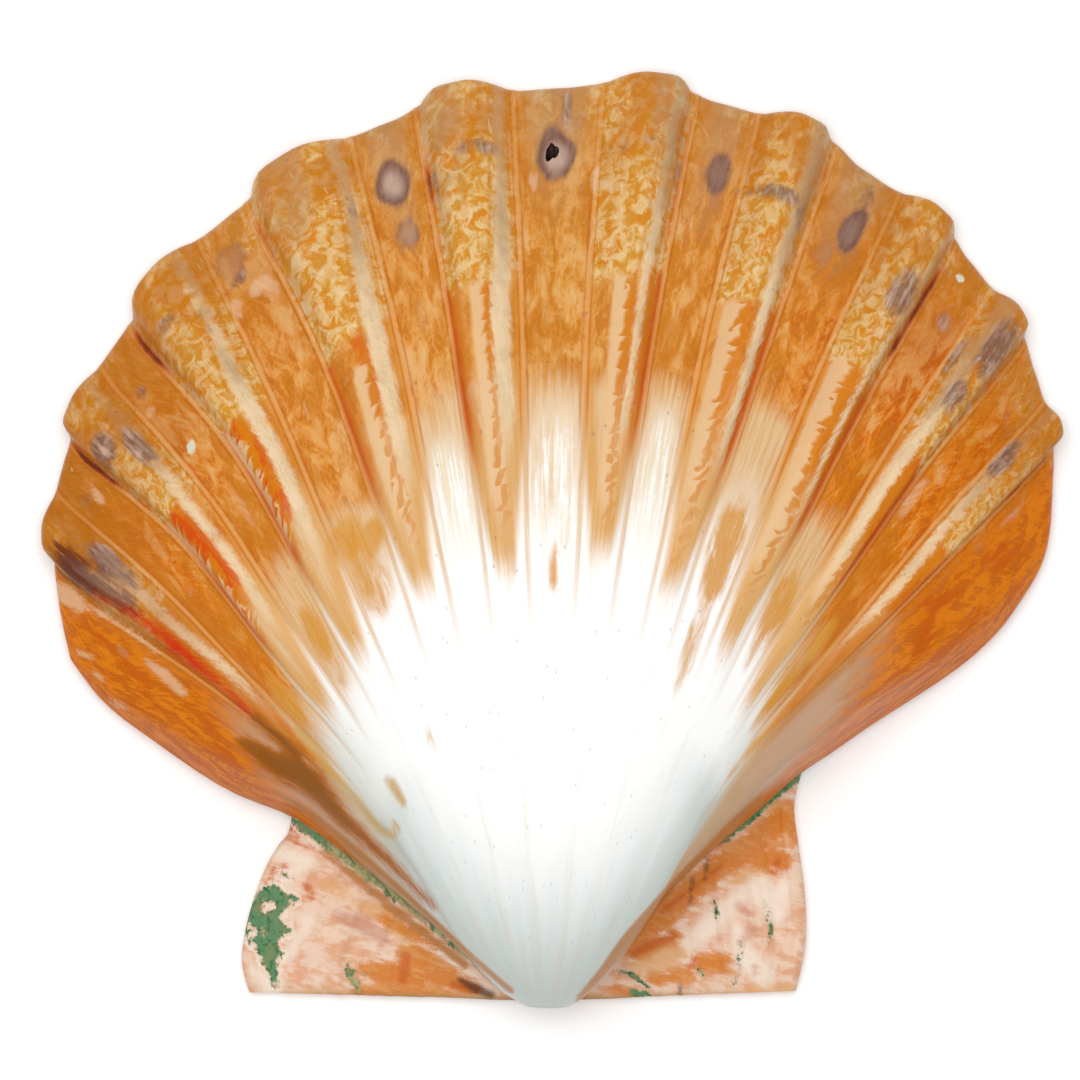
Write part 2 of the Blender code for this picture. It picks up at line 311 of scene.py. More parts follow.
def column_homes():
    """Home places of all columns, closer together beside each cord."""
    runs = [np.linspace(low, high, count, endpoint=False) for low, high, count in FLANK_RUNS]
    for band in range(2 * RIBS - 1):
        count = MIDDLE_COLUMNS if band == RIBS - 1 else BAND_COLUMNS
        x = np.arange(count) / count
        crowd = 0.15 if band == RIBS - 1 else 0.45
        x = x - crowd * np.sin(2 * math.pi * x) / (2 * math.pi)
        runs.append(0.25 + 0.5 * (band + x))
    runs += [np.linspace(low, high, count, endpoint=False) for low, high, count in FAR_RUNS]
    return np.concatenate(runs + [np.array([13.0])])


def row_stages():
    """Growth stages of all rows, closer together at the beak, round the hole and at the lip."""
    runs = [np.linspace(low, high, count, endpoint=False) for low, high, count in ROW_RUNS]
    return np.concatenate([[0.0]] + runs + [LIP_STAGES])


def open_hole(home, s, centre, half_mm):
    """Draws the grid's columns and rows aside round an opening. Returns which faces to leave out."""
    across = int(np.argmin(np.abs(home[0] - centre[0])))
    down = int(np.argmin(np.abs(s[:, 0] - centre[1])))
    rows, columns = np.indices(home.shape)
    x, y = columns - across, rows - down
    ring = np.maximum(np.abs(x) / HOLE_BLOCK[0], np.abs(y) / HOLE_BLOCK[1])
    turn = np.arctan2(y, x)
    ragged = 1.0 + sum(size * np.sin(times * turn + start) for times, size, start in HOLE_WAVES)
    near = (ring > 0) & (ring < HOLE_SPREAD)
    pull = 1.0 - ramp(ring, 1.0, HOLE_SPREAD)
    pull = np.where(near, pull, 0.0)
    rim_home = centre[0] + half_mm[0] / HOLE_PITCH_MM * ragged * np.cos(turn) * np.maximum(ring, 1.0)
    rim_stage = centre[1] + half_mm[1] / REACH_MM * ragged * np.sin(turn) * np.maximum(ring, 1.0)
    home = home + (rim_home - home) * pull
    s = s + (rim_stage - s) * pull
    inside = (rows >= down - HOLE_BLOCK[1]) & (rows < down + HOLE_BLOCK[1])
    inside &= (columns >= across - HOLE_BLOCK[0]) & (columns < across + HOLE_BLOCK[0])
    return home, s, inside[:-1, :-1]


# ---------------------------------------------------------------- relief

# Ringed scars: home place, stage, half width and half length in millimetres, strength.
SCARS = [
    (4.995, 0.9285, 2.6, 3.7, 1.0),
    (3.99, 0.931, 2.5, 3.3, 0.95),
    (4.03, 0.872, 1.6, 2.4, 0.55),
    (6.03, 0.927, 1.8, 3.3, 0.75),
    (7.05, 0.930, 1.6, 3.8, 0.95),
    (2.93, 0.950, 2.8, 3.2, 0.35),
]

# Stages at which growth paused and left a faint step all round the shell.
PAUSES = [0.34, 0.47, 0.58, 0.66, 0.745, 0.815, 0.885, 0.932, 0.972]

# Heights and depths of the fine relief, in millimetres.
CORD_MM = 0.20
CREASE_MM = 0.45
FURROW_MM = 0.14
VALLEY_CROWN_MM = 0.30
UNEVEN_MM = 0.12
PAUSE_MM = 0.10
SCAR_PIT_MM, SCAR_RIM_MM = 0.55, 0.12
EAR_RIDGE_MM = 0.10
FLUTE_MM = 0.34
MUSCLE_RIM_MM, MUSCLE_FLOOR_MM = 0.22, 0.16
HOLLOW_UNEVEN_MM = 0.06
HINGE_ROUND_MM = 0.6

# Growth ridges of the ears, as sums of waves with their frequency and start, and riblets across an
# ear. Then the muscle scar in the hollow: home place and stage of its middle, and its half sizes.
EAR_WAVES = ((46, 0.3), (71, 1.9), (113, 4.1))
EAR_RIBLETS = 4.0
MUSCLE_AT, MUSCLE_HALF = (5.9, 0.60), (1.15, 0.13)


def rib_share(home):
    """How far across a rib: 0 at the cord facing the middle, 1 at the outer cord."""
    phase = home - np.floor(home)
    outward = np.where(home > RIBS / 2, phase, 1.0 - phase)
    return (outward - 0.25) / 0.5


def on_disc(home):
    """Whether a home place is on the ribbed disc."""
    return (home > 0.25) & (home < RIBS - 0.25)


def home_swell(home):
    """Height of the ribs, 0 to 1, gentle towards the middle of the shell and steep outwards."""
    share = rib_share(home)
    swell = ramp(share, -0.08, 0.5) * (1.0 - ramp(share, 0.72, 1.0))
    return np.where(on_disc(home), swell, 0.0)


def ribbed_part(home):
    """1 on the ribbed disc, falling to 0 over its outermost quarters."""
    return ramp(home, 0.0, 0.25) * (1.0 - ramp(home, RIBS - 0.25, RIBS))


def cord_distance(home, pitch):
    """Distance from the nearest cord, in millimetres."""
    return np.abs(np.mod(home, 0.5) - 0.25) * pitch


def rib_height(home, s):
    """Height of the ribs as they grow, 0 to 1."""
    return home_swell(home) * ramp(s, 0.38, 0.96)


def margin_mm(q):
    """Distance of the margin from the beak, in millimetres."""
    return np.hypot(*margin(q)) / MM


def ripple(home, s, seed, across=3.0, along=30.0, count=6):
    """Smooth waves with no pattern, about -1 to 1."""
    draw = np.random.default_rng(seed)
    total = 0.0
    for _ in range(count):
        a, b = draw.uniform(-across, across), draw.uniform(-along, along)
        start = draw.uniform(0, 2 * math.pi)
        total = total + np.sin(a * home + b * s + start)
    return total / math.sqrt(count * 0.5) * 0.7


def scar_distance(home, s, pitch, scar):
    """0 at the middle of a ringed scar, 1 on its rim."""
    place, stage, half, length, _ = scar
    return np.hypot((home - place) * pitch / half, (s - stage) * REACH_MM / length)


def skin_relief(home, s, pitch):
    """Height over the plain sheet, in millimetres: ribs, cords, creases, pauses and scars."""
    share = rib_share(home)
    ribbed = ribbed_part(home)
    height = RIB_HEIGHT / MM * rib_height(home, s)
    height = height + ribbed * ramp(s, 0.5, 0.64) * CORD_MM * bump(cord_distance(home, pitch), 0.0, 0.38)
    crease = np.where(on_disc(home), bump((1.0 - share) * 0.5 * pitch, 1.1, 0.75), 0.0)
    height = height - crease * CREASE_MM * ramp(s, 0.6, 0.9)
    furrow = np.where(on_disc(home), bump(share * 0.5 * pitch, 0.9, 0.6), 0.0)
    height = height - furrow * FURROW_MM * ramp(s, 0.56, 0.75)
    valley = np.abs(home - np.round(home)) / 0.25
    height = height + ribbed * VALLEY_CROWN_MM * np.clip(1.0 - valley ** 2, 0.0, 1.0) * ramp(s, 0.45, 0.8)
    height = height + UNEVEN_MM * ripple(home, s, 11, 4.0, 26.0) * ramp(s, 0.1, 0.4)
    late = ramp(s, 0.4, 0.9)
    for pause in PAUSES:
        wavy = pause + 0.006 * np.sin(home * 2.2 + pause * 40) + 0.004 * home_swell(home)
        height = height - late * PAUSE_MM * bump(s, wavy, 0.0045)
    for scar in SCARS:
        d = scar_distance(home, s, pitch, scar)
        ringed = SCAR_PIT_MM * np.exp(-1.6 * d ** 2) - SCAR_RIM_MM * bump(d, 1.15, 0.3)
        height = height - scar[-1] * ringed
    return height


def ear_relief(home, s, x, y):
    """Worn growth ridges and thin riblets on the two ears, in millimetres."""
    ear = ramp(-home, 1.95, 2.2) + ramp(home, 11.95, 12.2)
    wavering = s + 0.012 * ripple(home, s, 3, 6.0, 10.0)
    ridges = sum(np.sin(wavering * turns + start) for turns, start in EAR_WAVES)
    height = EAR_RIDGE_MM * ridges * ramp(s, 0.25, 0.6)
    height = height + EAR_RIDGE_MM * np.sin(home * 2 * math.pi * EAR_RIBLETS) * ramp(s, 0.3, 0.7)
    worn = ripple(x * 0.25, y * 0.02, 8, 1.0, 14.0)
    return ear * (height + UNEVEN_MM * worn)


def lip_drop(s, reach_mm, round_mm):
    """How far the lip's edge is rounded down at the margin, in millimetres."""
    x = np.clip(1.0 - (1.0 - s) * reach_mm / round_mm, 0.0, 1.0)
    return round_mm * (1.0 - np.sqrt(1.0 - x * x))


def outer_face(home, s, pitch):
    """Convex side, with its relief and rounded lip."""
    q = wandering(home, s)
    sheet = growth_sheet(q, s)
    height = skin_relief(home, s, pitch) + ear_relief(home, s, sheet[..., 0] / MM, sheet[..., 1] / MM)
    height = height * (1.0 - 0.5 * ramp(s, 0.985, 1.0) * (1.0 - ramp(home_swell(home), 0.0, 0.2)))
    point = sheet + sheet_normal(q, s) * (height * MM)[..., None]
    edge_x, edge_y = np.abs(home + 3.0), np.abs(13.0 - home)
    hinge = np.clip(1.0 - np.minimum(edge_x, edge_y) / 0.10, 0.0, 1.0) * ramp(s, 0.1, 0.4)
    point[..., 2] -= lip_drop(s, margin_mm(q), LIP_ROUND_MM) * MM
    point[..., 2] -= HINGE_ROUND_MM * MM * (1.0 - np.sqrt(1.0 - hinge ** 2))
    return point


def hollow_scar(home, s):
    """1 on the edge of the round scar that the closing muscle left in the hollow, 0 at its middle."""
    (place, stage), (half_home, half_stage) = MUSCLE_AT, MUSCLE_HALF
    return np.hypot((home - place) / half_home, (s - stage) / half_stage)


def hollow_relief(home, s, pitch):
    """Height of the thin flutes and the muscle scar over the smooth hollow, in millimetres."""
    height = ribbed_part(home) * FLUTE_MM * bump(cord_distance(home, pitch), 0.0, 0.55)
    height = height * ramp(s, 0.72, 0.84) * (1.0 - ramp(s, 0.975, 1.0))
    scar = hollow_scar(home, s)
    height = height + MUSCLE_RIM_MM * bump(scar, 1.0, 0.09) - MUSCLE_FLOOR_MM * ramp(1.0 - scar, 0.0, 0.15)
    height = height + HOLLOW_UNEVEN_MM * ripple(home, s, 21, 5.0, 30.0) * ramp(s, 0.3, 0.5)
    return height * ramp(s, 0.2, 0.35)


def fan_at_hinge(q, s, x, y):
    """Plan position with the columns fanned out evenly over the hinge plate, and its radius."""
    radius, angle = np.hypot(x, y), np.arctan2(x, y)
    plate_edge = BEAK_PLATE_HALF + (HINGE_PLATE_DEPTH - BEAK_PLATE_HALF) * np.sin(math.pi * (q + 3.0) / 16.0)
    begun = ramp(s, 0.10, 0.22)
    radius = radius * begun + s / 0.16 * plate_edge * (1.0 - begun)
    held = 1.0 - ramp(radius, 1.5 * HINGE_PLATE_DEPTH, 4.0 * HINGE_PLATE_DEPTH)
    angle = angle * (1.0 - held) + hinge_fan(q, radius) * held
    return radius * np.sin(angle), radius * np.cos(angle), radius


def inner_face(home, s, pitch):
    """Hollow side: a wall in from the plain sheet, with a flat plate and pit behind the hinge."""
    q = wandering(home, s)
    late = np.maximum(s, 0.6)
    normal = sum(sheet_normal(q + turn, late) for turn in (-0.6, -0.3, 0.0, 0.3, 0.6))
    normal = normal / np.linalg.norm(normal, axis=-1, keepdims=True)
    depth = WALL * ramp(s, 0.0, 0.22)
    shift = INNER_RIB_HEIGHT * rib_height(home, s) - depth - hollow_relief(home, s, pitch) * MM
    x, y, z = np.moveaxis(growth_sheet(q, s) + normal * shift[..., None], -1, 0)
    z = z - np.maximum(EDGE_RISE - depth * normal[..., 2], 0.0) * s
    x, y, radius = fan_at_hinge(q, s, x, y)
    ear = ramp(np.abs(q - 5.0), 7.0, 7.4)
    over_ear = ramp(y, HINGE_PLATE_DEPTH, 2.2 * HINGE_PLATE_DEPTH)
    over_disc = ramp(radius, 1.2 * HINGE_PLATE_DEPTH, 3.5 * HINGE_PLATE_DEPTH)
    over_plate = ramp(y, 0.9 * HINGE_PLATE_DEPTH, 1.4 * HINGE_PLATE_DEPTH)
    z = np.maximum(z * (ear * over_ear + (1.0 - ear) * over_disc) * over_plate, 0.0)
    pit = PIT_DEPTH * ramp(y, 0.1 * PIT_HALF, 0.6 * PIT_HALF)
    pit = pit * (1.0 - ramp(np.abs(x), 0.3 * PIT_HALF, PIT_HALF)) * (1.0 - ramp(s, 0.9, 1.0))
    edge = lip_drop(s, margin_mm(q), UNDER_ROUND_MM) * MM
    return np.stack([x, y, np.maximum(z, pit) + edge], axis=-1)


# ---------------------------------------------------------------- where the colours lie

# By valley, 0 to 10: stage above which the orange skin is whole, stages between which the white of
# the dome gives way, how rich the orange is, and how much painted shade darkens it towards the margin.
SKIN_WHOLE = [0.66, 0.60, 0.66, 0.645, 0.70, 0.695, 0.70, 0.725, 0.675, 0.60, 0.72]
WHITE_CLEAR = [0.44, 0.49, 0.49, 0.53, 0.648, 0.645, 0.655, 0.56, 0.49, 0.46, 0.36]
WHITE_GONE = [0.50, 0.58, 0.56, 0.60, 0.672, 0.680, 0.672, 0.67, 0.61, 0.56, 0.50]
RICHNESS = [0.95, 0.95, 0.50, 0.35, 0.20, 0.05, 0.25, 0.65, 0.95, 1.0, 1.0]
MARGIN_SHADE = [0.75, 1.05, 0.90, 0.50, 0.45, 0.45, 0.45, 0.70, 0.60, 0.45, 0.40]

# By rib, 0 to 9: how much painted shade darkens its crest towards the margin.
CREST_SHADE = [1.0, 0.65, 0.35, 0.12, 0.10, 0.15, 0.25, 0.35, 0.40, 0.55]

# By rib, 0 to 9: stage of the tip of the tan tongue that runs down into the white.
TONGUE_TIP = [0.47, 0.49, 0.485, 0.495, 0.485, 0.495, 0.48, 0.46, 0.45, 0.44]

# By rib: middle and half width of the smooth pale stripe, as shares of the rib's width from its
# left cord, first at three quarters grown and then near the margin.
STRIPES = [
    (0.69, 0.10, 0.76, 0.07),
    (0.64, 0.09, 0.785, 0.065),
    (0.65, 0.13, 0.745, 0.055),
    (0.72, 0.12, 0.845, 0.055),
    (0.71, 0.13, 0.84, 0.06),
    (0.735, 0.065, 0.82, 0.06),
    (0.775, 0.095, 0.77, 0.10),
    (0.715, 0.05, 0.83, 0.05),
    (0.335, 0.135, 0.35, 0.13),
    (0.20, 0.10, 0.20, 0.08),
]

# By rib: left and right side of the cream patch with a toothed edge, the stages it runs between and
# the length of its teeth in millimetres.
WEDGES = [
    (0.0, 0.0, 0.7, 0.71, 0.0),
    (0.03, 0.16, 0.64, 0.80, 2.0),
    (0.03, 0.17, 0.655, 0.80, 2.2),
    (0.30, 0.47, 0.60, 0.76, 1.3),
    (0.32, 0.49, 0.58, 0.81, 1.0),
    (0.34, 0.51, 0.58, 0.81, 1.0),
    (0.18, 0.42, 0.58, 0.88, 1.4),
    (0.15, 0.40, 0.56, 1.05, 1.5),
    (0.18, 0.47, 0.62, 0.815, 0.9),
    (0.12, 0.30, 0.66, 0.86, 0.8),
]

# By rib: left and right side of the bare orange strip, the stages it runs between and how red it is.
STRIPS = [
    (0.0, 0.0, 0.7, 0.71, 0.0),
    (0.07, 0.52, 0.65, 0.825, 1.0),
    (0.07, 0.50, 0.66, 0.807, 1.0),
    (0.42, 0.60, 0.69, 0.80, 0.7),
    (0.46, 0.60, 0.69, 0.80, 0.55),
    (0.48, 0.66, 0.64, 0.80, 0.5),
    (0.38, 0.62, 0.64, 0.80, 0.4),
    (0.40, 0.60, 0.62, 0.84, 0.35),
    (0.47, 0.80, 0.63, 0.81, 0.6),
    (0.30, 0.60, 0.69, 0.82, 0.6),
]

# By rib: stages between which the outer crease is painted red as a glow of bounced light, and how red, then
# the same for its nearly black painted shade.
CREASES = [
    (0.68, 0.87, 1.0, 0.87, 0.96, 0.9),
    (0.63, 0.76, 0.6, 0.90, 0.99, 1.0),
    (0.63, 0.73, 0.6, 0.92, 0.99, 0.9),
    (0.63, 0.74, 0.6, 0.94, 0.985, 0.4),
    (0.65, 0.73, 0.75, 0.885, 0.94, 0.8),
    (0.67, 0.78, 0.5, 0.90, 0.94, 0.1),
    (0.65, 0.78, 0.75, 0.84, 0.87, 0.3),
    (0.65, 0.82, 0.8, 0.84, 0.96, 0.85),
    (0.66, 0.79, 0.95, 0.90, 0.95, 0.35),
    (0.86, 0.98, 0.5, 0.90, 0.94, 0.7),
]

# Marks: home place, stage, half width and half length in millimetres, strength.
ORANGE_BLOTCHES = [
    (7.0, 0.570, 2.7, 7.5, 1.0),
    (7.02, 0.48, 1.5, 8.0, 0.60),
    (8.0, 0.565, 2.4, 6.0, 1.0),
    (8.0, 0.52, 1.3, 4.0, 0.5),
    (2.9, 0.617, 3.4, 3.0, 1.0),
    (3.1, 0.600, 3.0, 2.4, 0.9),
    (3.0, 0.560, 3.6, 5.0, 0.6),
    (2.95, 0.58, 2.6, 3.6, 0.65),
    (2.0, 0.575, 2.0, 4.5, 0.9),
    (2.0, 0.53, 1.6, 4.0, 0.5),
    (1.0, 0.590, 2.0, 5.0, 0.8),
    (5.02, 0.51, 1.0, 3.2, 0.7),
    (4.95, 0.60, 2.8, 9.0, 0.30),
    (5.12, 0.56, 1.0, 8.0, 0.32),
    (9.0, 0.60, 1.6, 4.0, 0.9),
    (9.0, 0.53, 1.2, 7.0, 0.8),
    (1.8, 0.375, 0.8, 2.6, 0.45),
    (3.0, 0.39, 0.8, 2.6, 0.40),
    (7.0, 0.385, 0.6, 2.2, 0.25),
    (5.12, 0.285, 0.5, 1.2, 0.2),
    (9.4, 0.385, 1.0, 4.5, 0.35),
    (9.35, 0.46, 1.2, 6.0, 0.5),
]
VIOLET_STAINS = [
    (8.53, 0.945, 2.1, 6.5, 0.9),
    (8.50, 0.870, 1.7, 3.6, 0.75),
    (8.30, 0.905, 0.8, 4.5, 0.6),
    (7.55, 0.895, 2.2, 4.5, 0.75),
    (9.32, 0.910, 1.3, 4.5, 0.9),
    (1.42, 0.925, 2.8, 3.4, 0.8),
    (1.60, 0.885, 1.6, 5.0, 0.8),
    (0.40, 0.925, 2.3, 5.0, 1.0),
    (0.62, 0.880, 1.6, 6.0, 0.9),
    (2.42, 0.938, 2.4, 1.4, 0.65),
    (2.60, 0.905, 0.8, 3.0, 0.6),
    (4.55, 0.928, 4.6, 1.3, 0.55),
    (3.68, 0.920, 0.9, 2.4, 0.6),
    (3.42, 0.940, 2.2, 1.2, 0.3),
    (6.47, 0.912, 5.2, 1.3, 0.65),
    (6.66, 0.905, 1.0, 3.0, 0.5),
    (5.40, 0.920, 1.2, 1.6, 0.55),
    (5.55, 0.928, 2.2, 1.0, 0.45),
    (5.72, 0.905, 0.8, 3.0, 0.5),
    (2.93, 0.930, 2.6, 1.2, 0.6),
    (0.98, 0.950, 1.5, 1.8, 0.45),
    (1.93, 0.930, 1.3, 1.5, 0.5),
    (8.02, 0.925, 1.4, 1.9, 0.5),
    (9.02, 0.938, 1.1, 1.5, 0.35),
    (5.06, 0.975, 1.1, 3.2, 0.6),
    (7.06, 0.972, 1.2, 3.2, 0.7),
    (4.30, 0.905, 0.7, 4.0, 0.6),
]
PALE_PATCHES = [
    (3.08, 0.908, 2.6, 1.6, 0.8),
    (2.80, 0.905, 1.2, 1.8, 0.75),
    (3.15, 0.893, 1.6, 1.8, 0.6),
    (1.07, 0.930, 1.0, 2.4, 0.7),
    (1.00, 0.755, 1.3, 1.2, 0.45),
    (8.92, 0.815, 1.4, 1.7, 0.7),
    (8.85, 0.770, 1.2, 4.2, 0.7),
    (9.90, 0.915, 0.9, 5.6, 0.65),
    (2.00, 0.735, 0.9, 4.5, 0.55),
    (1.85, 0.905, 1.3, 1.2, 0.55),
    (4.00, 0.785, 0.5, 4.0, 0.6),
    (2.97, 0.757, 0.35, 2.0, 0.6),
    (5.93, 0.770, 0.35, 2.2, 0.6),
    (4.86, 0.900, 0.9, 1.7, 0.75),
    (4.85, 0.975, 0.9, 2.0, 0.5),
    (5.24, 0.895, 0.7, 2.2, 0.6),
    (6.88, 0.970, 0.8, 2.5, 0.4),
    (0.02, 0.955, 1.6, 3.5, 0.5),
    (-0.20, 0.650, 1.4, 4.5, 0.6),
]
WHITE_CHIPS = [
    (1.93, 0.833, 1.0, 1.1, 1.0),
    (-0.02, 0.852, 0.9, 1.5, 1.0),
    (7.93, 0.977, 0.8, 0.7, 1.0),
    (1.10, 0.985, 0.6, 0.5, 0.6),
    (10.40, 0.900, 0.5, 2.2, 0.6),
]

# Strokes on the ears and along their seams, in the frame's plan: each a run of points with x, y and
# the stroke's half width there, all in millimetres.
GREEN_CRUSTS = [
    [(-38.2, -47.8, 0.7), (-38.5, -49.5, 2.2), (-39.6, -51.5, 2.4), (-39.6, -53.5, 2.6), (-39.2, -55.5, 1.7),
     (-38.6, -57.2, 1.3), (-38.3, -59.0, 0.8), (-37.9, -60.9, 0.6)],
    [(-37.0, -49.3, 1.0), (-35.3, -49.3, 0.7)],
    [(-38.0, -53.3, 1.2), (-36.2, -53.6, 0.7)],
    [(-38.0, -56.4, 0.8), (-36.9, -56.9, 0.4)],
    [(-37.6, -46.2, 0.3), (-36.2, -46.0, 0.4)],
    [(-27.9, -58.8, 0.5), (-27.2, -60.6, 0.8), (-26.5, -61.9, 0.6)],
    [(-27.6, -59.5, 0.4), (-25.7, -59.5, 0.35)],
    [(-36.6, -36.9, 0.5), (-34.6, -38.6, 0.9), (-32.0, -40.4, 1.1), (-29.0, -42.8, 1.15), (-25.0, -45.9, 1.0),
     (-22.0, -48.2, 0.75), (-18.5, -51.1, 0.55), (-15.0, -54.1, 0.45), (-11.5, -57.3, 0.4),
     (-7.0, -61.0, 0.45)],
    [(36.6, -30.6, 0.5), (33.6, -32.5, 0.95), (30.5, -34.9, 0.9), (27.6, -37.5, 0.8), (25.0, -40.0, 0.55),
     (22.8, -42.1, 0.2)],
    [(22.1, -49.5, 0.25), (22.5, -51.2, 0.42), (22.5, -52.3, 0.15)],
    [(25.2, -54.8, 0.2), (26.0, -56.0, 0.38), (25.4, -57.8, 0.42), (25.7, -59.0, 0.25), (24.8, -60.5, 0.5)],
    [(28.9, -49.4, 0.2), (29.6, -51.5, 0.48), (29.9, -54.5, 0.3), (29.4, -56.0, 0.15)],
    [(20.2, -59.0, 0.5), (20.9, -60.0, 0.4)],
    [(9.4, -59.1, 0.5), (10.6, -59.4, 0.4), (12.2, -60.5, 0.36), (13.5, -61.5, 0.25)],
    [(11.2, -61.9, 0.7), (13.0, -62.4, 0.6)],
]
CRUST_GAPS = [
    [(-39.3, -50.5, 0.7), (-38.3, -50.3, 0.6)],
    [(-41.3, -53.7, 0.5), (-40.9, -53.6, 0.4)],
    [(-39.7, -53.7, 0.3), (-39.4, -53.8, 0.3)],
    [(-41.8, -57.0, 1.5), (-40.8, -58.5, 1.2), (-40.5, -61.0, 1.2)],
]
EAR_ORANGES = [
    [(-20.2, -56.6, 1.0), (-18.5, -57.6, 2.3), (-15.0, -59.8, 2.1), (-10.8, -61.6, 1.1)],
    [(-26.0, -58.6, 0.8), (-23.0, -59.6, 1.9), (-19.0, -60.2, 2.2)],
    [(-26.5, -61.8, 0.9), (-14.0, -62.2, 0.8)],
    [(-23.0, -52.0, 0.9), (-18.5, -54.2, 1.0), (-16.0, -56.0, 0.6)],
    [(10.8, -55.6, 1.6), (14.0, -52.0, 2.3), (18.5, -48.3, 2.0), (23.0, -44.6, 1.8), (27.5, -42.0, 2.2),
     (31.5, -38.0, 1.8)],
    [(11.5, -56.6, 1.0), (17.0, -54.3, 0.9)],
    [(28.0, -43.6, 1.6), (31.2, -44.0, 1.9)],
    [(32.4, -36.5, 1.0), (33.4, -40.5, 1.3)],
    [(20.2, -58.0, 1.3), (23.2, -58.0, 1.6)],
    [(14.0, -60.3, 1.0), (18.5, -59.6, 1.1)],
    [(8.6, -61.2, 0.7), (10.5, -62.3, 0.8)],
]
EAR_APRICOTS = [
    [(12.5, -57.6, 1.6), (16.5, -56.8, 1.6), (14.0, -59.0, 1.0)],
    [(-30.5, -47.8, 0.7), (-24.0, -51.0, 0.9), (-19.0, -55.5, 1.0)],
    [(24.0, -46.8, 0.8), (28.5, -44.8, 0.9)],
    [(30.0, -36.5, 1.6), (31.5, -40.0, 1.4)],
    [(-36.0, -62.4, 0.7), (-28.0, -62.6, 0.7)],
    [(24.0, -62.0, 0.7), (33.0, -61.6, 0.8)],
]
EAR_ROSES = [
    [(-29.5, -51.0, 0.8), (-25.5, -53.0, 1.4), (-23.0, -54.5, 0.9)],
    [(-29.0, -46.2, 0.2), (-25.8, -47.8, 0.35), (-23.3, -49.5, 0.2)],
    [(25.5, -50.0, 0.6), (27.0, -51.5, 0.7)],
    [(26.0, -55.0, 0.5), (27.5, -53.5, 0.5)],
    [(27.7, -58.2, 0.35), (27.6, -59.2, 0.35)],
]
EAR_REDS = [
    [(-20.0, -57.2, 0.6), (-20.4, -60.0, 0.8)],
    [(-13.5, -60.9, 0.5), (-10.5, -61.8, 0.5)],
    [(-35.9, -41.3, 0.35), (-34.4, -41.6, 0.3)],
    [(-33.8, -42.0, 0.35), (-32.6, -42.3, 0.3)],
    [(-38.0, -45.1, 0.3), (-36.4, -44.6, 0.3)],
    [(-40.0, -48.2, 0.4), (-37.4, -45.9, 0.3)],
    [(-36.2, -46.7, 0.35), (-35.3, -46.4, 0.35)],
    [(-35.8, -39.6, 0.5), (-34.6, -40.4, 0.4)],
    [(-33.6, -47.4, 0.3), (-32.9, -48.8, 0.2)],
    [(11.0, -56.7, 0.3), (13.2, -55.6, 0.5), (16.5, -54.2, 0.5)],
    [(30.2, -45.4, 0.5), (30.9, -44.0, 0.6)],
    [(15.0, -50.8, 0.3), (19.5, -47.6, 0.3), (23.0, -44.8, 0.25)],
    [(18.9, -58.2, 0.4), (19.6, -57.6, 0.4)],
]
EAR_DARKS = [
    [(-12.6, -60.3, 0.3), (-10.6, -61.4, 0.55), (-8.4, -62.4, 0.4)],
    [(17.4, -61.2, 0.12), (17.6, -62.2, 0.16), (17.4, -63.0, 0.12)],
    [(21.2, -43.8, 0.08), (21.0, -45.6, 0.12), (20.9, -46.4, 0.08)],
    [(19.2, -46.4, 0.08), (18.9, -48.0, 0.12), (18.9, -50.2, 0.05)],
]
EAR_PALES = [
    [(-18.0, -54.9, 0.4), (-14.0, -57.6, 0.7), (-10.5, -60.2, 0.6), (-7.8, -62.4, 0.4)],
    [(28.5, -48.0, 2.0), (30.5, -50.5, 2.0), (32.0, -47.0, 1.0)],
    [(25.0, -53.0, 0.8), (26.5, -57.0, 1.6), (29.0, -60.0, 1.6)],
    [(18.5, -55.2, 1.2), (22.0, -52.6, 1.6), (26.0, -48.5, 1.0)],
    [(-37.0, -43.0, 1.2), (-33.5, -44.0, 1.0), (-36.5, -47.5, 0.5)],
    [(-36.5, -57.5, 0.6), (-33.0, -52.0, 0.8), (-36.0, -51.5, 0.3)],
    [(-38.5, -62.0, 1.0), (-40.8, -59.0, 0.9)],
]
SEAM_LINES = [
    [(-37.5, -34.6, 0.3), (-33.0, -37.4, 0.45), (-30.0, -39.7, 0.40), (-25.0, -43.8, 0.40),
     (-20.0, -48.3, 0.38), (-15.0, -53.0, 0.35), (-10.0, -57.6, 0.35), (-5.5, -61.6, 0.35)],
    [(-31.5, -42.6, 0.2), (-27.0, -46.2, 0.4), (-22.0, -50.3, 0.5), (-17.0, -54.3, 0.45),
     (-12.0, -58.2, 0.4)],
    [(3.6, -62.8, 0.5), (7.0, -58.6, 0.6), (10.2, -54.4, 0.9), (14.0, -49.7, 0.65), (17.5, -45.8, 0.55),
     (20.6, -42.7, 0.50), (24.0, -39.3, 0.50), (26.8, -36.6, 0.45), (28.6, -35.0, 0.3)],
]
BROWN_STREAKS = [
    [(-42.0, -27.6, 0.8), (-38.5, -30.0, 1.5), (-35.5, -31.4, 2.0), (-33.2, -32.6, 1.9), (-30.6, -35.6, 1.3),
     (-28.2, -38.2, 1.0), (-25.0, -41.1, 0.7), (-22.0, -44.0, 0.5), (-19.0, -47.0, 0.3), (-16.0, -50.0, 0.1)],
    [(-40.5, -24.2, 0.5), (-37.0, -27.0, 0.8), (-34.8, -29.4, 1.0), (-33.6, -31.4, 0.8)],
]
RED_FOLDS = [
    [(-62.5, -7.4, 0.1), (-59.0, -8.8, 0.3), (-56.0, -10.8, 0.4), (-53.0, -13.0, 0.4), (-50.5, -15.2, 0.7),
     (-48.5, -17.0, 0.5), (-46.0, -18.9, 0.1), (-43.5, -21.0, 0.1), (-41.0, -23.6, 0.2)],
]
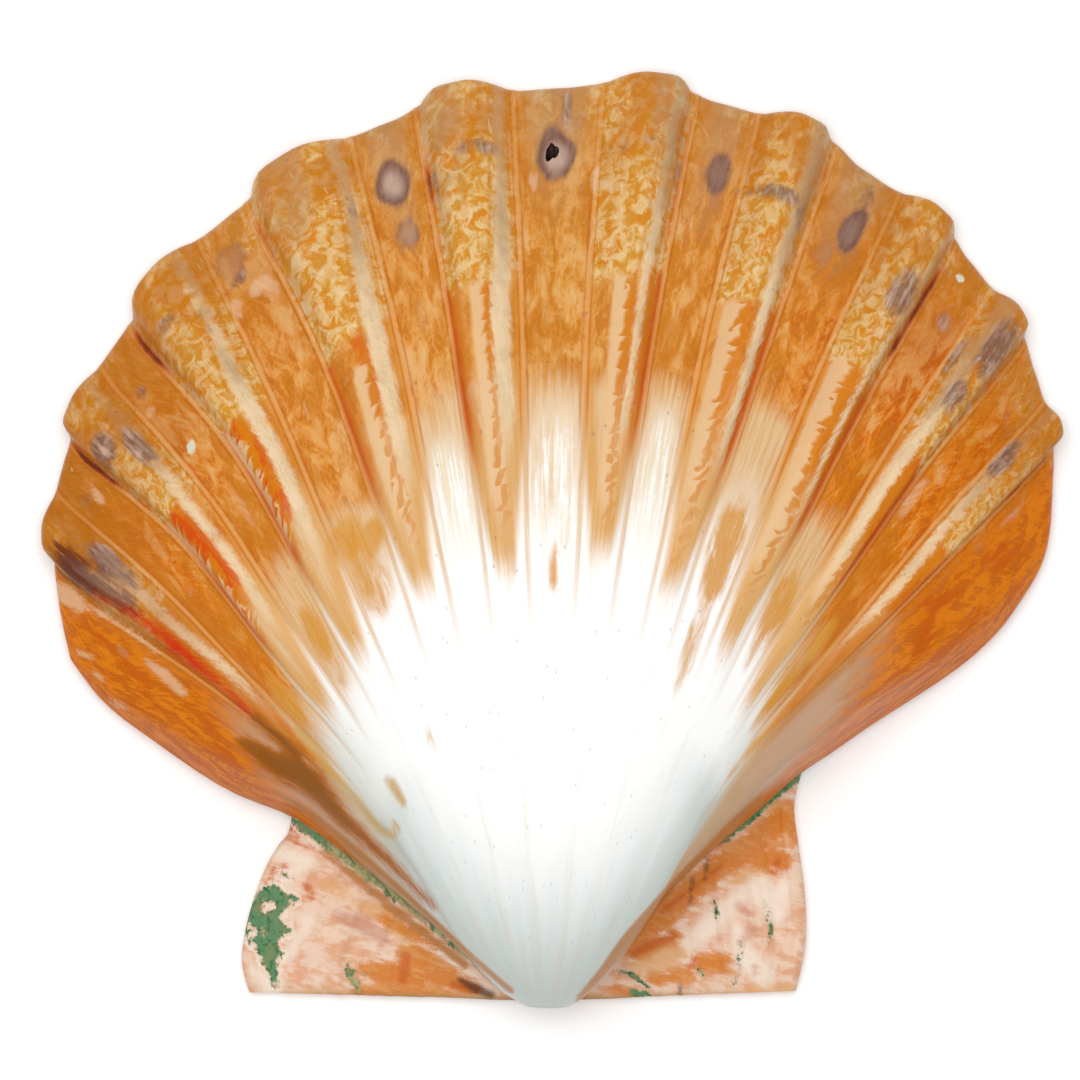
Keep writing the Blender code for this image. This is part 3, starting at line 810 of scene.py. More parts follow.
DARK_FOLDS = [
    [(-67.4, -1.4, 0.8), (-66.2, -3.2, 1.5), (-64.2, -4.8, 1.7), (-62.8, -6.2, 1.2), (-60.6, -7.6, 0.8),
     (-59.0, -8.4, 0.7), (-56.5, -10.0, 0.4)],
    [(-66.0, -1.2, 0.4), (-63.8, -2.8, 0.5), (-61.2, -4.1, 0.6)],
]
LILAC_FOLDS = [
    [(-64.6, -4.0, 0.4), (-62.6, -5.0, 0.8), (-60.2, -6.2, 1.3), (-57.6, -8.0, 1.0)],
    [(-61.6, -2.0, 0.6), (-59.4, -3.8, 1.2), (-57.2, -6.0, 1.0)],
]
PALE_LINES = [
    [(-68.0, -6.6, 1.0), (-66.2, -7.8, 1.4), (-64.4, -9.2, 0.9)],
    [(-64.4, -9.2, 0.4), (-61.0, -10.4, 0.35), (-57.2, -12.8, 0.35), (-53.5, -15.6, 0.3)],
    [(-55.4, -16.6, 0.5), (-52.8, -18.6, 0.9), (-50.2, -21.0, 0.7)],
    [(-64.8, -15.5, 0.5), (-62.8, -16.2, 0.4)],
    [(-62.6, -18.2, 0.4), (-61.4, -19.2, 0.4)],
    [(-60.5, -22.2, 0.5), (-58.5, -23.0, 0.6)],
]
TAN_LOOPS = [
    [(-31.5, -30.3, 0.3), (-28.4, -33.2, 0.25), (-26.2, -35.6, 0.25), (-24.2, -38.4, 0.32),
     (-22.8, -39.8, 0.38), (-21.5, -40.1, 0.36), (-20.9, -39.3, 0.3), (-21.5, -38.2, 0.12)],
    [(-34.5, -26.0, 0.5), (-32.0, -28.6, 0.45), (-30.2, -31.0, 0.2)],
    [(-22.0, -32.6, 0.5), (-20.9, -34.4, 0.45), (-20.0, -36.0, 0.2)],
]

# The fields that the tables of marks and strokes make.
MARKS = {"blotch": ORANGE_BLOTCHES, "violet": VIOLET_STAINS, "pale": PALE_PATCHES, "chip": WHITE_CHIPS}
STROKES = {
    "ear_orange": EAR_ORANGES,
    "ear_apricot": EAR_APRICOTS,
    "ear_rose": EAR_ROSES,
    "ear_red": EAR_REDS,
    "ear_dark": EAR_DARKS,
    "ear_pale": EAR_PALES,
    "seam": SEAM_LINES,
    "streak": BROWN_STREAKS,
    "loop": TAN_LOOPS,
    "red_fold": RED_FOLDS,
    "dark_fold": DARK_FOLDS,
    "lilac_fold": LILAC_FOLDS,
    "pale_line": PALE_LINES,
}

# How far from an edge its distance is kept, and how far a crust climbs a steep side.
NEAR_MM = (-2.5, 2.5)
CRUST_CLIMB_MM = 3.5


def by_rib(table, home):
    """Rows of a table of ribs, one row for each point."""
    rib = np.clip(np.floor(home), 0, RIBS - 1).astype(int)
    return np.moveaxis(np.asarray(table, float)[rib], -1, 0)


def marks(table, home, s, pitch):
    """Soft-edged marks on the disc: 1 in the middle of a strong one, 0 outside."""
    total = np.zeros_like(s)
    for place, stage, half, length, strength in table:
        d = np.hypot((home - place) * pitch / half, (s - stage) * REACH_MM / length)
        total = np.maximum(total, strength * (1.0 - ramp(d, 0.35, 1.35)))
    return total


def strokes(table, x, y):
    """Distance inside the nearest of a table of strokes, in millimetres, down to 3 mm outside."""
    total = np.full_like(x, -3.0)
    for stroke in table:
        for (x0, y0, half0), (x1, y1, half1) in zip(stroke, stroke[1:]):
            dx, dy = x1 - x0, y1 - y0
            t = np.clip(((x - x0) * dx + (y - y0) * dy) / (dx * dx + dy * dy), 0.0, 1.0)
            inside = half0 + (half1 - half0) * t - np.hypot(x - x0 - dx * t, y - y0 - dy * t)
            total = np.maximum(total, inside)
    return total


def window(value, low, high, soft):
    """1 between low and high, with soft ends."""
    return ramp(value, low - soft, low + soft) * (1.0 - ramp(value, high - soft, high + soft))


def seam_angle(x, y):
    """Angle past the right ear's seam, seen from the beak, in radians."""
    return foot_angle(RIGHT_STEEP, np.hypot(x, y)) - np.arctan2(x, y)


def rib_place(home, s, pitch):
    """Uneven share across a rib and uneven stage, for edges that waver, and which points are on ribs."""
    phase = home - np.floor(home)
    across = (phase - 0.25) / 0.5 + 0.22 * ripple(home, s, 31, 2.0, 45.0) / (0.5 * pitch)
    uneven = s + 0.012 * ripple(home, s, 41, 8.0, 60.0, 9)
    return across, uneven, on_disc(home) & (phase >= 0.25) & (phase <= 0.75)


def skin_fields(home, s, pitch, plan):
    """Where the orange skin is whole, worn thin to tan, or ground away to white."""
    across, uneven, in_rib = rib_place(home, s, pitch)
    valley = np.clip(np.round(home), 0, RIBS).astype(int)
    whole, clear, gone = (np.asarray(table)[valley] for table in (SKIN_WHOLE, WHITE_CLEAR, WHITE_GONE))
    tip = np.asarray(TONGUE_TIP)[np.clip(np.floor(home), 0, RIBS - 1).astype(int)]
    tongue = np.clip((s - tip) / (0.665 - tip), 0.0, 2.0) ** 0.62
    past_tip = 0.35 * (1.0 - ramp(s, tip - 0.02, tip + 0.03))
    tongue_side = (np.abs(2.0 * across - 1.0) - 1.02 * tongue + past_tip) * (0.5 * pitch) / 2.0
    white_rib = np.maximum(ramp(tongue_side, -1.0, 1.9), 0.7 * (1.0 - ramp(s, tip, tip + 0.07)))
    bowed = (np.abs(home - valley) / 0.25) ** 2
    white_valley = 1.0 - ramp(uneven + 0.012 * bowed, clear - 0.055, gone + 0.045)
    white = np.where(in_rib, white_rib, white_valley)
    thin_valley = 1.0 - ramp(uneven + 0.01 * bowed, whole - 0.04, whole + 0.04)
    thin = np.where(in_rib, 1.0 - ramp(uneven, 0.64, 0.72), thin_valley)

    left, right = 1.0 - ramp(home, 0.05, 0.40), ramp(home, RIBS - 0.35, RIBS - 0.05)
    left_thin = 1.0 - ramp(s + 0.05 * np.sin(home * 3.0), 0.64, 0.73)
    right_thin = 1.0 - ramp(s - 0.04 * (home - 10.0), 0.66, 0.76)
    left_white = 1.0 - ramp(s, 0.36, 0.55)
    right_white = ramp(seam_angle(*plan), 0.05, 0.17) * (1.0 - ramp(s, 0.34, 0.54))
    # Painted shade in each valley, on the half beside the steep outer side of the neighbouring rib.
    outward = np.where(home > RIBS / 2, -1.0, 1.0) * (home - valley) / 0.25
    has_lee_shade = on_disc(home) & ~in_rib & (valley != RIBS // 2)
    # Painted shade on the dome: greyer with distance from its brightly lit centre, towards the beak, where
    # the dome is partly grey of its own, and towards the sides.
    sink = np.hypot((home - 5.0) / 4.6, np.minimum(s - 0.42, 0.0) / 0.34)
    return {
        "white": white * (1 - left) * (1 - right) + left_white * left + right_white * right,
        "thin": thin * (1 - left) * (1 - right) + left_thin * left + right_thin * right,
        "tongue": np.where(in_rib, np.clip(tongue_side, -9.0, 3.0), 3.0),
        "rich": np.interp(home, np.arange(RIBS + 1), RICHNESS),
        "lee": np.where(has_lee_shade, np.clip(outward, 0.0, 1.0), 0.0),
        "dim": sink * (1.0 - ramp(s, 0.36, 0.50)),
        "sideways": ramp(np.abs(home - 5.2), 2.9, 5.2),
    }


def rib_fields(home, s, pitch):
    """Distances into the stripe, cream wedge and orange strip of each rib, and its gold crest."""
    rib_mm = 0.5 * pitch
    across, uneven, in_rib = rib_place(home, s, pitch)
    disc = on_disc(home)
    middle_75, half_75, middle_95, half_95 = by_rib(STRIPES, home)
    late = ramp(s, 0.75, 0.93)
    middle, half = middle_75 + (middle_95 - middle_75) * late, half_75 + (half_95 - half_75) * late
    low, high, start, stop, teeth = by_rib(WEDGES, home)
    wedge = np.minimum((across - low) * rib_mm, np.minimum((uneven - start) * 25.0, (stop - uneven) * 60.0))
    left, right, begins, ends, red = by_rib(STRIPS, home)
    strip = np.minimum(across - left, right - across) * rib_mm
    strip = np.minimum(strip, np.minimum(uneven - begins, ends - uneven) * 40.0)
    gold = np.where(in_rib, window(across, 0.0, 1.0, 0.10), 0.0) * ramp(uneven, 0.775, 0.815)
    return {
        "stripe": np.where(in_rib, (half - np.abs(across - middle)) * rib_mm, -2.0),
        "wedge": np.where(disc, np.clip(wedge, *NEAR_MM), NEAR_MM[0]),
        "wedge_right": np.where(in_rib, np.clip((high - across) * rib_mm, *NEAR_MM), NEAR_MM[0]),
        "teeth": np.where(disc, teeth, 0.0),
        "strip": np.where(disc & (red > 0), np.clip(strip, *NEAR_MM), NEAR_MM[0]),
        "strip_red": np.where(disc, red, 0.0),
        "gold": np.maximum(gold, 0.55 * ramp(s, 0.90, 0.985) * disc),
    }


def edge_fields(home, s, pitch):
    """Creases beside the ribs, the thin cords, and how much painted shade darkens the margin."""
    rib_mm = 0.5 * pitch
    in_rib, disc = rib_place(home, s, pitch)[2], on_disc(home)
    red_from, red_to, red_most, dark_from, dark_to, dark_most = by_rib(CREASES, home)
    outer_gap = (1.0 - rib_share(home)) * rib_mm
    groove = np.where(disc & (outer_gap > -0.9) & (home > 1.0), window(outer_gap, -0.10, 0.85, 0.55), 0.0)
    begun = np.interp(s, (0.44, 0.52, 0.62), (0.0, 0.75, 1.0))
    margin_shades = np.array([MARGIN_SHADE, CREST_SHADE + [0.0]]).T.ravel()
    dusk = np.interp(home, np.arange(RIBS * 2 + 2) / 2.0, margin_shades) * ramp(s, 0.78, 0.93) * disc
    return {
        # Painted light in the crease beside each rib's outer cord: a red glow of bounced light, and nearly
        # black shade.
        "crease": np.clip(groove * window(s, red_from, red_to, 0.03) * red_most, 0, 1),
        "soot": np.clip(groove * window(s, dark_from, dark_to, 0.02) * dark_most, 0, 1),
        "outer": np.where(in_rib, outer_gap, 9.0),
        "inner": np.where(in_rib, rib_share(home) * rib_mm, 9.0),
        "cords": begun * ramp(home, 0.1, 0.25) * (1.0 - ramp(home, 9.8, 9.95)),
        "dusk": np.maximum(dusk, 0.75 * ramp(s, 0.58, 0.84) * (1.0 - ramp(home, 0.5, 0.9)) * disc),
    }


def mark_fields(home, s, pitch, x, y):
    """The ringed scars, the marks and strokes of the tables, the ears and their green crusts."""
    scar, heart = 0.0, 0.0
    for mark in SCARS:
        place, strength = mark[0], mark[-1]
        d = scar_distance(home, s, pitch, mark) + 0.12 * ripple(home, s, 51, 20.0, 160.0, 8)
        lightness = 0.85 if place < RIBS / 2 + 0.5 else 0.25
        scar = scar + strength * (1.0 - ramp(d, 0.70, 1.20))
        heart = heart + strength * lightness * (1.0 - ramp(d, 0.30, 0.80))
    crust = np.minimum(strokes(GREEN_CRUSTS, x, y), -strokes(CRUST_GAPS, x, y))
    above_seam = np.where(home < RIBS / 2, home + 2.0, 12.0 - home) * pitch
    return {
        "scar": np.clip(scar, 0, 1),
        "heart": np.clip(heart, 0, 1),
        "ear": ramp(-home, 1.96, 2.03) + ramp(home, 11.96, 12.03),
        "crust": np.minimum(crust, np.where(above_seam > 0.0, CRUST_CLIMB_MM - above_seam, 9.0)),
        **{name: marks(table, home, s, pitch) for name, table in MARKS.items()},
        **{name: strokes(table, x, y) for name, table in STROKES.items()},
    }


# ---------------------------------------------------------------- building the valve

BOX_FIT = 0.9995
DOUBLES = 1e-6
SHARP_ANGLE = math.radians(55)


def pitch_mm(home, s):
    """Millimetres of growth line per unit of home place."""
    step = 2e-3
    low, high = np.clip(home - step, -3.0, 13.0), np.clip(home + step, -3.0, 13.0)
    late = np.maximum(s, 0.03)
    run = growth_sheet(wandering(high, late), late) - growth_sheet(wandering(low, late), late)
    return np.linalg.norm(run, axis=-1) / (high - low) / MM


def values_of(items, what, width, kind=float):
    """One property of all of a mesh's points, edges or faces, a row for each."""
    values = np.empty(len(items) * width, kind)
    items.foreach_get(what, values)
    return values.reshape(-1, width)


def enter_edit_mode(kind):
    """Edit mode on the active piece, choosing by VERT, EDGE or FACE."""
    bpy.ops.object.mode_set(mode="EDIT")
    bpy.ops.mesh.select_mode(type=kind)


def select_only(mesh, vertices=(), faces=()):
    """Selects just these vertices or faces of a mesh that is in object mode."""
    for kind, chosen in ((mesh.vertices, vertices), (mesh.edges, ()), (mesh.polygons, faces)):
        flags = np.zeros(len(kind), bool)
        if len(chosen):
            flags[np.asarray(chosen)] = True
        kind.foreach_set("select", flags)
    mesh.update()


def face_piece(name, home, points, fields, left_out):
    """One face of the valve: a grid moved onto its shape, closed at the beak, with the hole left out."""
    rows, columns = home.shape
    bpy.ops.object.select_all(action="DESELECT")
    bpy.ops.mesh.primitive_grid_add(x_subdivisions=columns - 1, y_subdivisions=rows - 1, size=2.0)
    piece = bpy.context.object
    piece.name = piece.data.name = name
    mesh = piece.data
    flat = values_of(mesh.vertices, "co", 3)
    column = np.rint((flat[:, 0] + 1.0) / 2.0 * (columns - 1)).astype(int)
    row = np.rint((flat[:, 1] + 1.0) / 2.0 * (rows - 1)).astype(int)
    mesh.vertices.foreach_set("co", points[row, column].ravel())
    for field, values in fields.items():
        attribute = mesh.attributes.new(field, "FLOAT", "POINT")
        painted = np.broadcast_to(values, home.shape)[row, column]
        attribute.data.foreach_set("value", painted.astype(np.float32))
    corners = values_of(mesh.polygons, "vertices", 4, int)
    hole = left_out[row[corners].min(axis=1), column[corners].min(axis=1)]

    select_only(mesh, faces=np.flatnonzero(hole))
    enter_edit_mode("FACE")
    bpy.ops.mesh.delete(type="FACE")
    bpy.ops.mesh.select_mode(type="VERT")
    bpy.ops.object.mode_set(mode="OBJECT")
    beak = points[0, 0]
    near = np.linalg.norm(values_of(mesh.vertices, "co", 3) - beak, axis=1) < DOUBLES
    select_only(mesh, vertices=np.flatnonzero(near))
    enter_edit_mode("VERT")
    bpy.ops.mesh.remove_doubles(threshold=DOUBLES)
    bpy.ops.object.mode_set(mode="OBJECT")
    return piece


def bridge_loops(mesh, hole_at, near_hole):
    """Bridges the two open loops of the hole, or the two of the margin and hinge."""
    enter_edit_mode("EDGE")
    bpy.ops.mesh.select_all(action="DESELECT")
    bpy.ops.mesh.select_non_manifold(
        extend=False, use_wire=False, use_boundary=True, use_multi_face=False,
        use_non_contiguous=False, use_verts=False,
    )
    bpy.ops.object.mode_set(mode="OBJECT")
    open_edges = values_of(mesh.edges, "select", 1, bool).ravel()
    ends = values_of(mesh.edges, "vertices", 2, int)
    middle = values_of(mesh.vertices, "co", 3)[ends].mean(axis=1)
    at_hole = np.hypot(middle[:, 0] - hole_at[0], middle[:, 1] - hole_at[1]) < HOLE_REACH
    select_only(mesh)
    mesh.edges.foreach_set("select", open_edges & (at_hole == near_hole))
    enter_edit_mode("EDGE")
    bpy.ops.mesh.bridge_edge_loops(type="PAIRS", use_merge=False)
    bpy.ops.object.mode_set(mode="OBJECT")


def fit_to_cad(outer):
    """Scale and shift that bring the valve inside the CAD box, its margin on the ground."""
    low, high = outer.reshape(-1, 3).min(axis=0), outer.reshape(-1, 3).max(axis=0)
    cad_low, cad_high = np.array(cad_box[0]), np.array(cad_box[1])
    scale = ((cad_high - cad_low)[:2] / (high - low)[:2]).min() * BOX_FIT
    scale = min(scale, (cad_high[2] - cad_low[2]) / high[2] * BOX_FIT)
    shift = (cad_low + cad_high) / 2 - (low + high) / 2 * scale
    shift[2] = cad_low[2]
    return scale, shift


def join_faces(valve, hollow, hole_at):
    """Joins the two faces into one closed piece, each with its material, and a wall in the hole."""
    for piece, material in ((valve, "polished_skin"), (hollow, "porcelain_hollow")):
        piece.data.materials.append(bpy.data.materials.new(material))
    bpy.ops.object.select_all(action="DESELECT")
    valve.select_set(True)
    hollow.select_set(True)
    bpy.context.view_layer.objects.active = valve
    bpy.ops.object.join()
    valve.data.materials.append(bpy.data.materials.new("borer_hole"))
    for near_hole, material in ((True, 2), (False, 0)):
        faces_before = len(valve.data.polygons)
        bridge_loops(valve.data, hole_at, near_hole)
        for face in valve.data.polygons[faces_before:]:
            face.material_index = material
    enter_edit_mode("FACE")
    bpy.ops.mesh.select_all(action="SELECT")
    bpy.ops.mesh.normals_make_consistent(inside=False)
    bpy.ops.object.mode_set(mode="OBJECT")
    bpy.ops.object.shade_smooth_by_angle(angle=SHARP_ANGLE)


def build_valve():
    """The whole valve as one closed piece, fitted inside the CAD box."""
    home, s = np.meshgrid(column_homes(), row_stages())
    inner_home, inner_s, inner_left_out = open_hole(home, s, HOLE_INSIDE, HOLE_INSIDE_HALF_MM)
    home, s, left_out = open_hole(home, s, HOLE, HOLE_HALF_MM)
    pitch, inner_pitch = pitch_mm(home, s), pitch_mm(inner_home, inner_s)
    plan = growth_plan(wandering(home, s), s)
    outer, inner = outer_face(home, s, pitch), inner_face(inner_home, inner_s, inner_pitch)
    outer[0], inner[0] = outer[0].mean(axis=0), inner[0].mean(axis=0)
    outer[..., 2] = np.maximum(outer[..., 2], inner[..., 2] + LEAST_WALL)
    scale, shift = fit_to_cad(outer)
    outer, inner = outer * scale + shift, inner * scale + shift

    fields = {
        "home": home,
        "stage": s,
        "pitch": pitch,
        **skin_fields(home, s, pitch, plan),
        **rib_fields(home, s, pitch),
        **edge_fields(home, s, pitch),
        **mark_fields(home, s, pitch, outer[..., 0] / MM, outer[..., 1] / MM),
    }
    hollow_fields = {
        "home": inner_home,
        "stage": inner_s,
        "pitch": inner_pitch,
        "muscle": hollow_scar(inner_home, inner_s),
    }
    valve = face_piece("lion_paw_valve", home, outer, fields, left_out)
    hollow = face_piece("hollow", inner_home, inner, hollow_fields, inner_left_out)
    hole_x, hole_y = growth_plan(np.array(HOLE[0]), np.array(HOLE[1]))
    join_faces(valve, hollow, (float(hole_x) * scale + shift[0], float(hole_y) * scale + shift[1]))
    return valve


# ---------------------------------------------------------------- shader formulas


class Tone:
    """A shader socket that can be written in sums."""

    def __init__(self, socket):
        self.socket = socket
        self.tree = socket.id_data

    def math(self, operation, *others):
        """The result of a Math node on this and other values."""
        node = self.tree.nodes.new("ShaderNodeMath")
        node.operation = operation
        for socket, value in zip(node.inputs, (self, *others)):
            join(value, socket)
        return Tone(node.outputs[0])

    def __add__(self, other):
        return self.math("ADD", other)

    def __sub__(self, other):
        return self.math("SUBTRACT", other)

    def __mul__(self, other):
        return self.math("MULTIPLY", other)

    def __rsub__(self, other):
        return (self * -1.0) + other

    __radd__ = __add__
    __rmul__ = __mul__

    def least(self, other):
        return self.math("MINIMUM", other)

    def most(self, other):
        return self.math("MAXIMUM", other)

    def rise(self, low, high):
        """0 below low, 1 above high, smooth between; falls instead where low is above high."""
        node = self.tree.nodes.new("ShaderNodeMapRange")
        node.interpolation_type = "SMOOTHSTEP"
        join(self, node.inputs["Value"])
        turned = low > high
        node.inputs["From Min"].default_value = high if turned else low
        node.inputs["From Max"].default_value = low if turned else high
        node.inputs["To Min"].default_value = 1.0 if turned else 0.0
        node.inputs["To Max"].default_value = 0.0 if turned else 1.0
        return Tone(node.outputs["Result"])

    def between(self, low, high, soft):
        """1 between low and high, with soft ends."""
        return self.rise(low - soft, low + soft) * self.rise(high + soft, high - soft)


def join(value, socket):
    """Puts a Tone, a number or a colour into a socket."""
    if isinstance(value, Tone):
        socket.id_data.links.new(value.socket, socket)
    elif isinstance(value, tuple):
        socket.default_value = (*value, 1.0)[: len(socket.default_value)]
    else:
        socket.default_value = value


def field(tree, name):
    """A field painted on the piece's points."""
    node = tree.nodes.new("ShaderNodeAttribute")
    node.attribute_name = name
    return Tone(node.outputs["Fac"])


def point(tree, x, y, z=0.0):
    """A vector, or a grey colour, from separate values."""
    node = tree.nodes.new("ShaderNodeCombineXYZ")
    for value, socket in zip((x, y, z), node.inputs):
        join(value, socket)
    return Tone(node.outputs[0])


def noise(x, y, detail=2.0, roughness=0.55, distortion=0.0):
    """Soft flat noise, about 0.5 on average."""
    tree = x.tree
    node = tree.nodes.new("ShaderNodeTexNoise")
    node.noise_dimensions = "2D"
    join(point(tree, x, y), node.inputs["Vector"])
    settings = {"Scale": 1.0, "Detail": detail, "Roughness": roughness, "Distortion": distortion}
    for name, value in settings.items():
        node.inputs[name].default_value = value
    return Tone(node.outputs["Fac"])


def cells(x, y):
    """Distance to the nearest of scattered points."""
    node = x.tree.nodes.new("ShaderNodeTexVoronoi")
    node.voronoi_dimensions = "2D"
    join(point(x.tree, x, y), node.inputs["Vector"])
    node.inputs["Scale"].default_value = 1.0
    return Tone(node.outputs["Distance"])


def blend(under, over, mask):
    """Colour over laid on colour under where mask is 1."""
    tree = mask.tree
    node = tree.nodes.new("ShaderNodeMix")
    node.data_type = "RGBA"
    node.clamp_factor = True
    join(mask, node.inputs[0])
    join(under, node.inputs[6])
    join(over, node.inputs[7])
    return Tone(node.outputs[2])


def make_group(name, inputs, outputs, recipe):
    """A node group with number inputs, whose recipe gives its outputs by name."""
    tree = bpy.data.node_groups.new(name, "ShaderNodeTree")
    for title in inputs:
        tree.interface.new_socket(title, in_out="INPUT", socket_type="NodeSocketFloat")
    for title in outputs:
        tree.interface.new_socket(title, in_out="OUTPUT", socket_type="NodeSocketFloat")
    start, end = tree.nodes.new("NodeGroupInput"), tree.nodes.new("NodeGroupOutput")
    for title, value in recipe(*[Tone(start.outputs[title]) for title in inputs]).items():
        join(value, end.inputs[title])
    return tree


def use_group(tree, group, **values):
    """Places a group in a tree. Returns its outputs by name."""
    node = tree.nodes.new("ShaderNodeGroup")
    node.node_tree = group
    for title, value in values.items():
        join(value, node.inputs[title])
    return {socket.name: Tone(socket) for socket in node.outputs}


HOME_MM = 21.0
GRAIN_NAMES = (
    "Mottle", "Patch", "Cloud", "Fine", "Thread", "Hair", "Streak", "Feather", "Wisp", "Growth", "Tooth",
)


def shell_grain(home, stage):
    """Textures that follow the growth of the shell, from its home place and growth stage."""
    x, y = home * HOME_MM, stage * REACH_MM
    lean = ((home - 5.0) * 0.35).most(-1.0).least(1.0) * stage.rise(0.50, 0.68)
    slant = x - (y - 90.0) * lean * 0.75
    mottle = noise(x * 0.24 + 40.0, y * 0.12, 3.0, 0.6)
    patch = noise(x * 0.36 + 7.0, y * 0.22 + 50.0, 5.0, 0.62, 0.4)
    cloud = noise(x * 0.10, y * 0.05 + 70.0, 2.0)
    fine = noise(x * 1.6, y * 1.5 + 30.0, 3.0, 0.65)
    thread = noise(slant * 1.5 + 50.0, y * 0.22, 3.0, 0.6, 0.3)
    hairs = noise(slant * 0.55 + 90.0, y * 0.16 + 20.0, 2.0, 0.6, 0.8)
    streak = noise(x * 1.3 + 15.0, y * 0.10, 3.0, 0.65)
    curls = noise(x * 0.75 + 90.0, y * 0.42, 3.0, 0.6, 1.6)
    wisp = noise(x * 0.70 + 31.0, y * 0.60, 4.0, 0.62, 0.5)
    growth = noise(x * 0.06 + 11.0, y * 1.6, 2.0, 0.6)
    jag = noise(x * 0.12 + 13.0, y * 0.30, 2.0)
    saw = (y * 0.40 + jag * 2.6).math("FRACT")
    return {
        "Mottle": mottle,
        "Cloud": cloud,
        "Fine": fine,
        "Thread": thread,
        "Patch": patch,
        "Hair": (hairs - 0.5).math("ABSOLUTE").rise(0.03, 0.0),
        "Streak": streak,
        "Feather": (curls - 0.5).math("ABSOLUTE").rise(0.07, 0.0),
        "Wisp": wisp,
        "Growth": growth,
        "Tooth": (saw - 0.45) * (jag - 0.15) * 2.2,
    }


def worn_specks(home, stage):
    """Tiny pits and hairline scratches of a handled, polished surface."""
    x, y = home * HOME_MM, stage * REACH_MM
    gate = noise(x * 0.16 + 21.0, y * 0.16, 1.0).rise(0.52, 0.62)
    pits = cells(x * 0.20, y * 0.20).rise(0.055, 0.025) * gate
    drift = x + y * 0.08 + noise(x * 0.05, y * 0.02) * 6.0
    scratch = cells(drift * 0.9, y * 0.06).rise(0.06, 0.02)
    return {"Pits": pits, "Scratches": scratch * gate}


# ---------------------------------------------------------------- colours, in linear red, green and blue

# The orange skin.
PEACH = (0.72, 0.40, 0.135)
PEACH_BLUSH = (0.76, 0.45, 0.20)
APRICOT = (0.68, 0.31, 0.06)
AMBER = (0.53, 0.165, 0.003)
ORANGE = (0.70, 0.19, 0.002)
RUST = (0.53, 0.095, 0.0)
# Amber painted shade, beside the ribs' steep outer sides and beside the pale stripes.
AMBER_SHADE = (0.56, 0.19, 0.010)
PINK_THREAD = (0.74, 0.41, 0.17)
TAN = (0.67, 0.39, 0.16)
TAN_PINK = (0.73, 0.48, 0.26)
EDGE_TAN = (0.67, 0.34, 0.09)
SIDE_ORANGE = (0.55, 0.17, 0.012)

# The ribs.
BAND_ORANGE = (0.65, 0.19, 0.004)
# Red painted shade, on the ribs' steep outer sides and under the near-black shade in the creases.
BAND_SHADE_RED = (0.50, 0.06, 0.0)
INNER_ORANGE = (0.68, 0.27, 0.035)
STRIP_AMBER = (0.63, 0.18, 0.001)
STRIP_RED = (0.62, 0.075, 0.0)
TEETH_ORANGE = (0.61, 0.20, 0.004)
WEDGE_CREAM = (0.75, 0.48, 0.24)
GOLD = (0.62, 0.28, 0.025)
GOLD_LIGHT = (0.73, 0.43, 0.14)
GOLD_THREAD = (0.80, 0.62, 0.36)
STRIPE_CREAM = (0.79, 0.61, 0.38)
STRIPE_GREY = (0.50, 0.36, 0.20)

# The bare dome, with painted shade greying its white towards the beak and the sides.
WHITE = (0.97, 0.965, 0.945)
COOL_SHADED_WHITE = (0.90, 0.93, 0.92)
BEAK_SHADE_GREY = (0.50, 0.56, 0.52)
DOME_SHADE = (0.50, 0.51, 0.42)
FRINGE_CREAM = (0.80, 0.66, 0.47)
BLOTCH = (0.64, 0.27, 0.020)
RIM_GREY = (0.42, 0.27, 0.15)

# Cords and creases.
CORD_LIGHT = (0.71, 0.34, 0.11)
CORD_TAN = (0.62, 0.33, 0.105)
# Cords, and creases with their painted red glow of bounced light and painted shade.
CORD_SHADE = (0.46, 0.10, 0.003)
CREASE_GLOW_RED = (0.50, 0.07, 0.0)
SHADE_BLACK = (0.13, 0.015, 0.001)

# Scars, stains, folds and chips.
VIOLET_DARK = (0.16, 0.075, 0.06)
VIOLET = (0.23, 0.12, 0.09)
LILAC_WHITE = (0.61, 0.45, 0.36)
PALE = (0.80, 0.56, 0.36)
CHIP_WHITE = (0.66, 0.64, 0.50)
FOLD_RED = (0.60, 0.02, 0.0)
FOLD_DARK = (0.11, 0.014, 0.003)
FOLD_LILAC = (0.40, 0.25, 0.16)

# The plain sides.
FLANK_ORANGE = (0.50, 0.11, 0.0)
FLANK_TAN = (0.47, 0.34, 0.21)
FLANK_PINK = (0.55, 0.38, 0.26)
FLANK_GREY = (0.52, 0.50, 0.41)
LOOP_TAN = (0.56, 0.34, 0.10)
STREAK_RUST = (0.42, 0.11, 0.001)
STREAK_BROWN = (0.25, 0.075, 0.002)
SEAM_BROWN = (0.46, 0.17, 0.03)

# The ears and their crusts, with painted shade along the hinge edge.
EAR_CREAM = (0.80, 0.58, 0.44)
EAR_PINK = (0.72, 0.38, 0.22)
EAR_WHITE = (0.88, 0.78, 0.66)
EAR_APRICOT = (0.72, 0.40, 0.17)
EAR_ORANGE = (0.63, 0.18, 0.004)
EAR_ROSE = (0.56, 0.25, 0.17)
EAR_RED = (0.52, 0.085, 0.002)
EAR_TAN_AND_HINGE_SHADE = (0.52, 0.25, 0.08)
EAR_EDGE_SHADE = (0.42, 0.24, 0.13)
EAR_DARK = (0.10, 0.035, 0.02)
CRUST_GREEN = (0.115, 0.245, 0.12)
CRUST_DARK = (0.045, 0.13, 0.05)
CRUST_OLIVE = (0.24, 0.25, 0.10)
CRUST_TAN = (0.42, 0.36, 0.18)

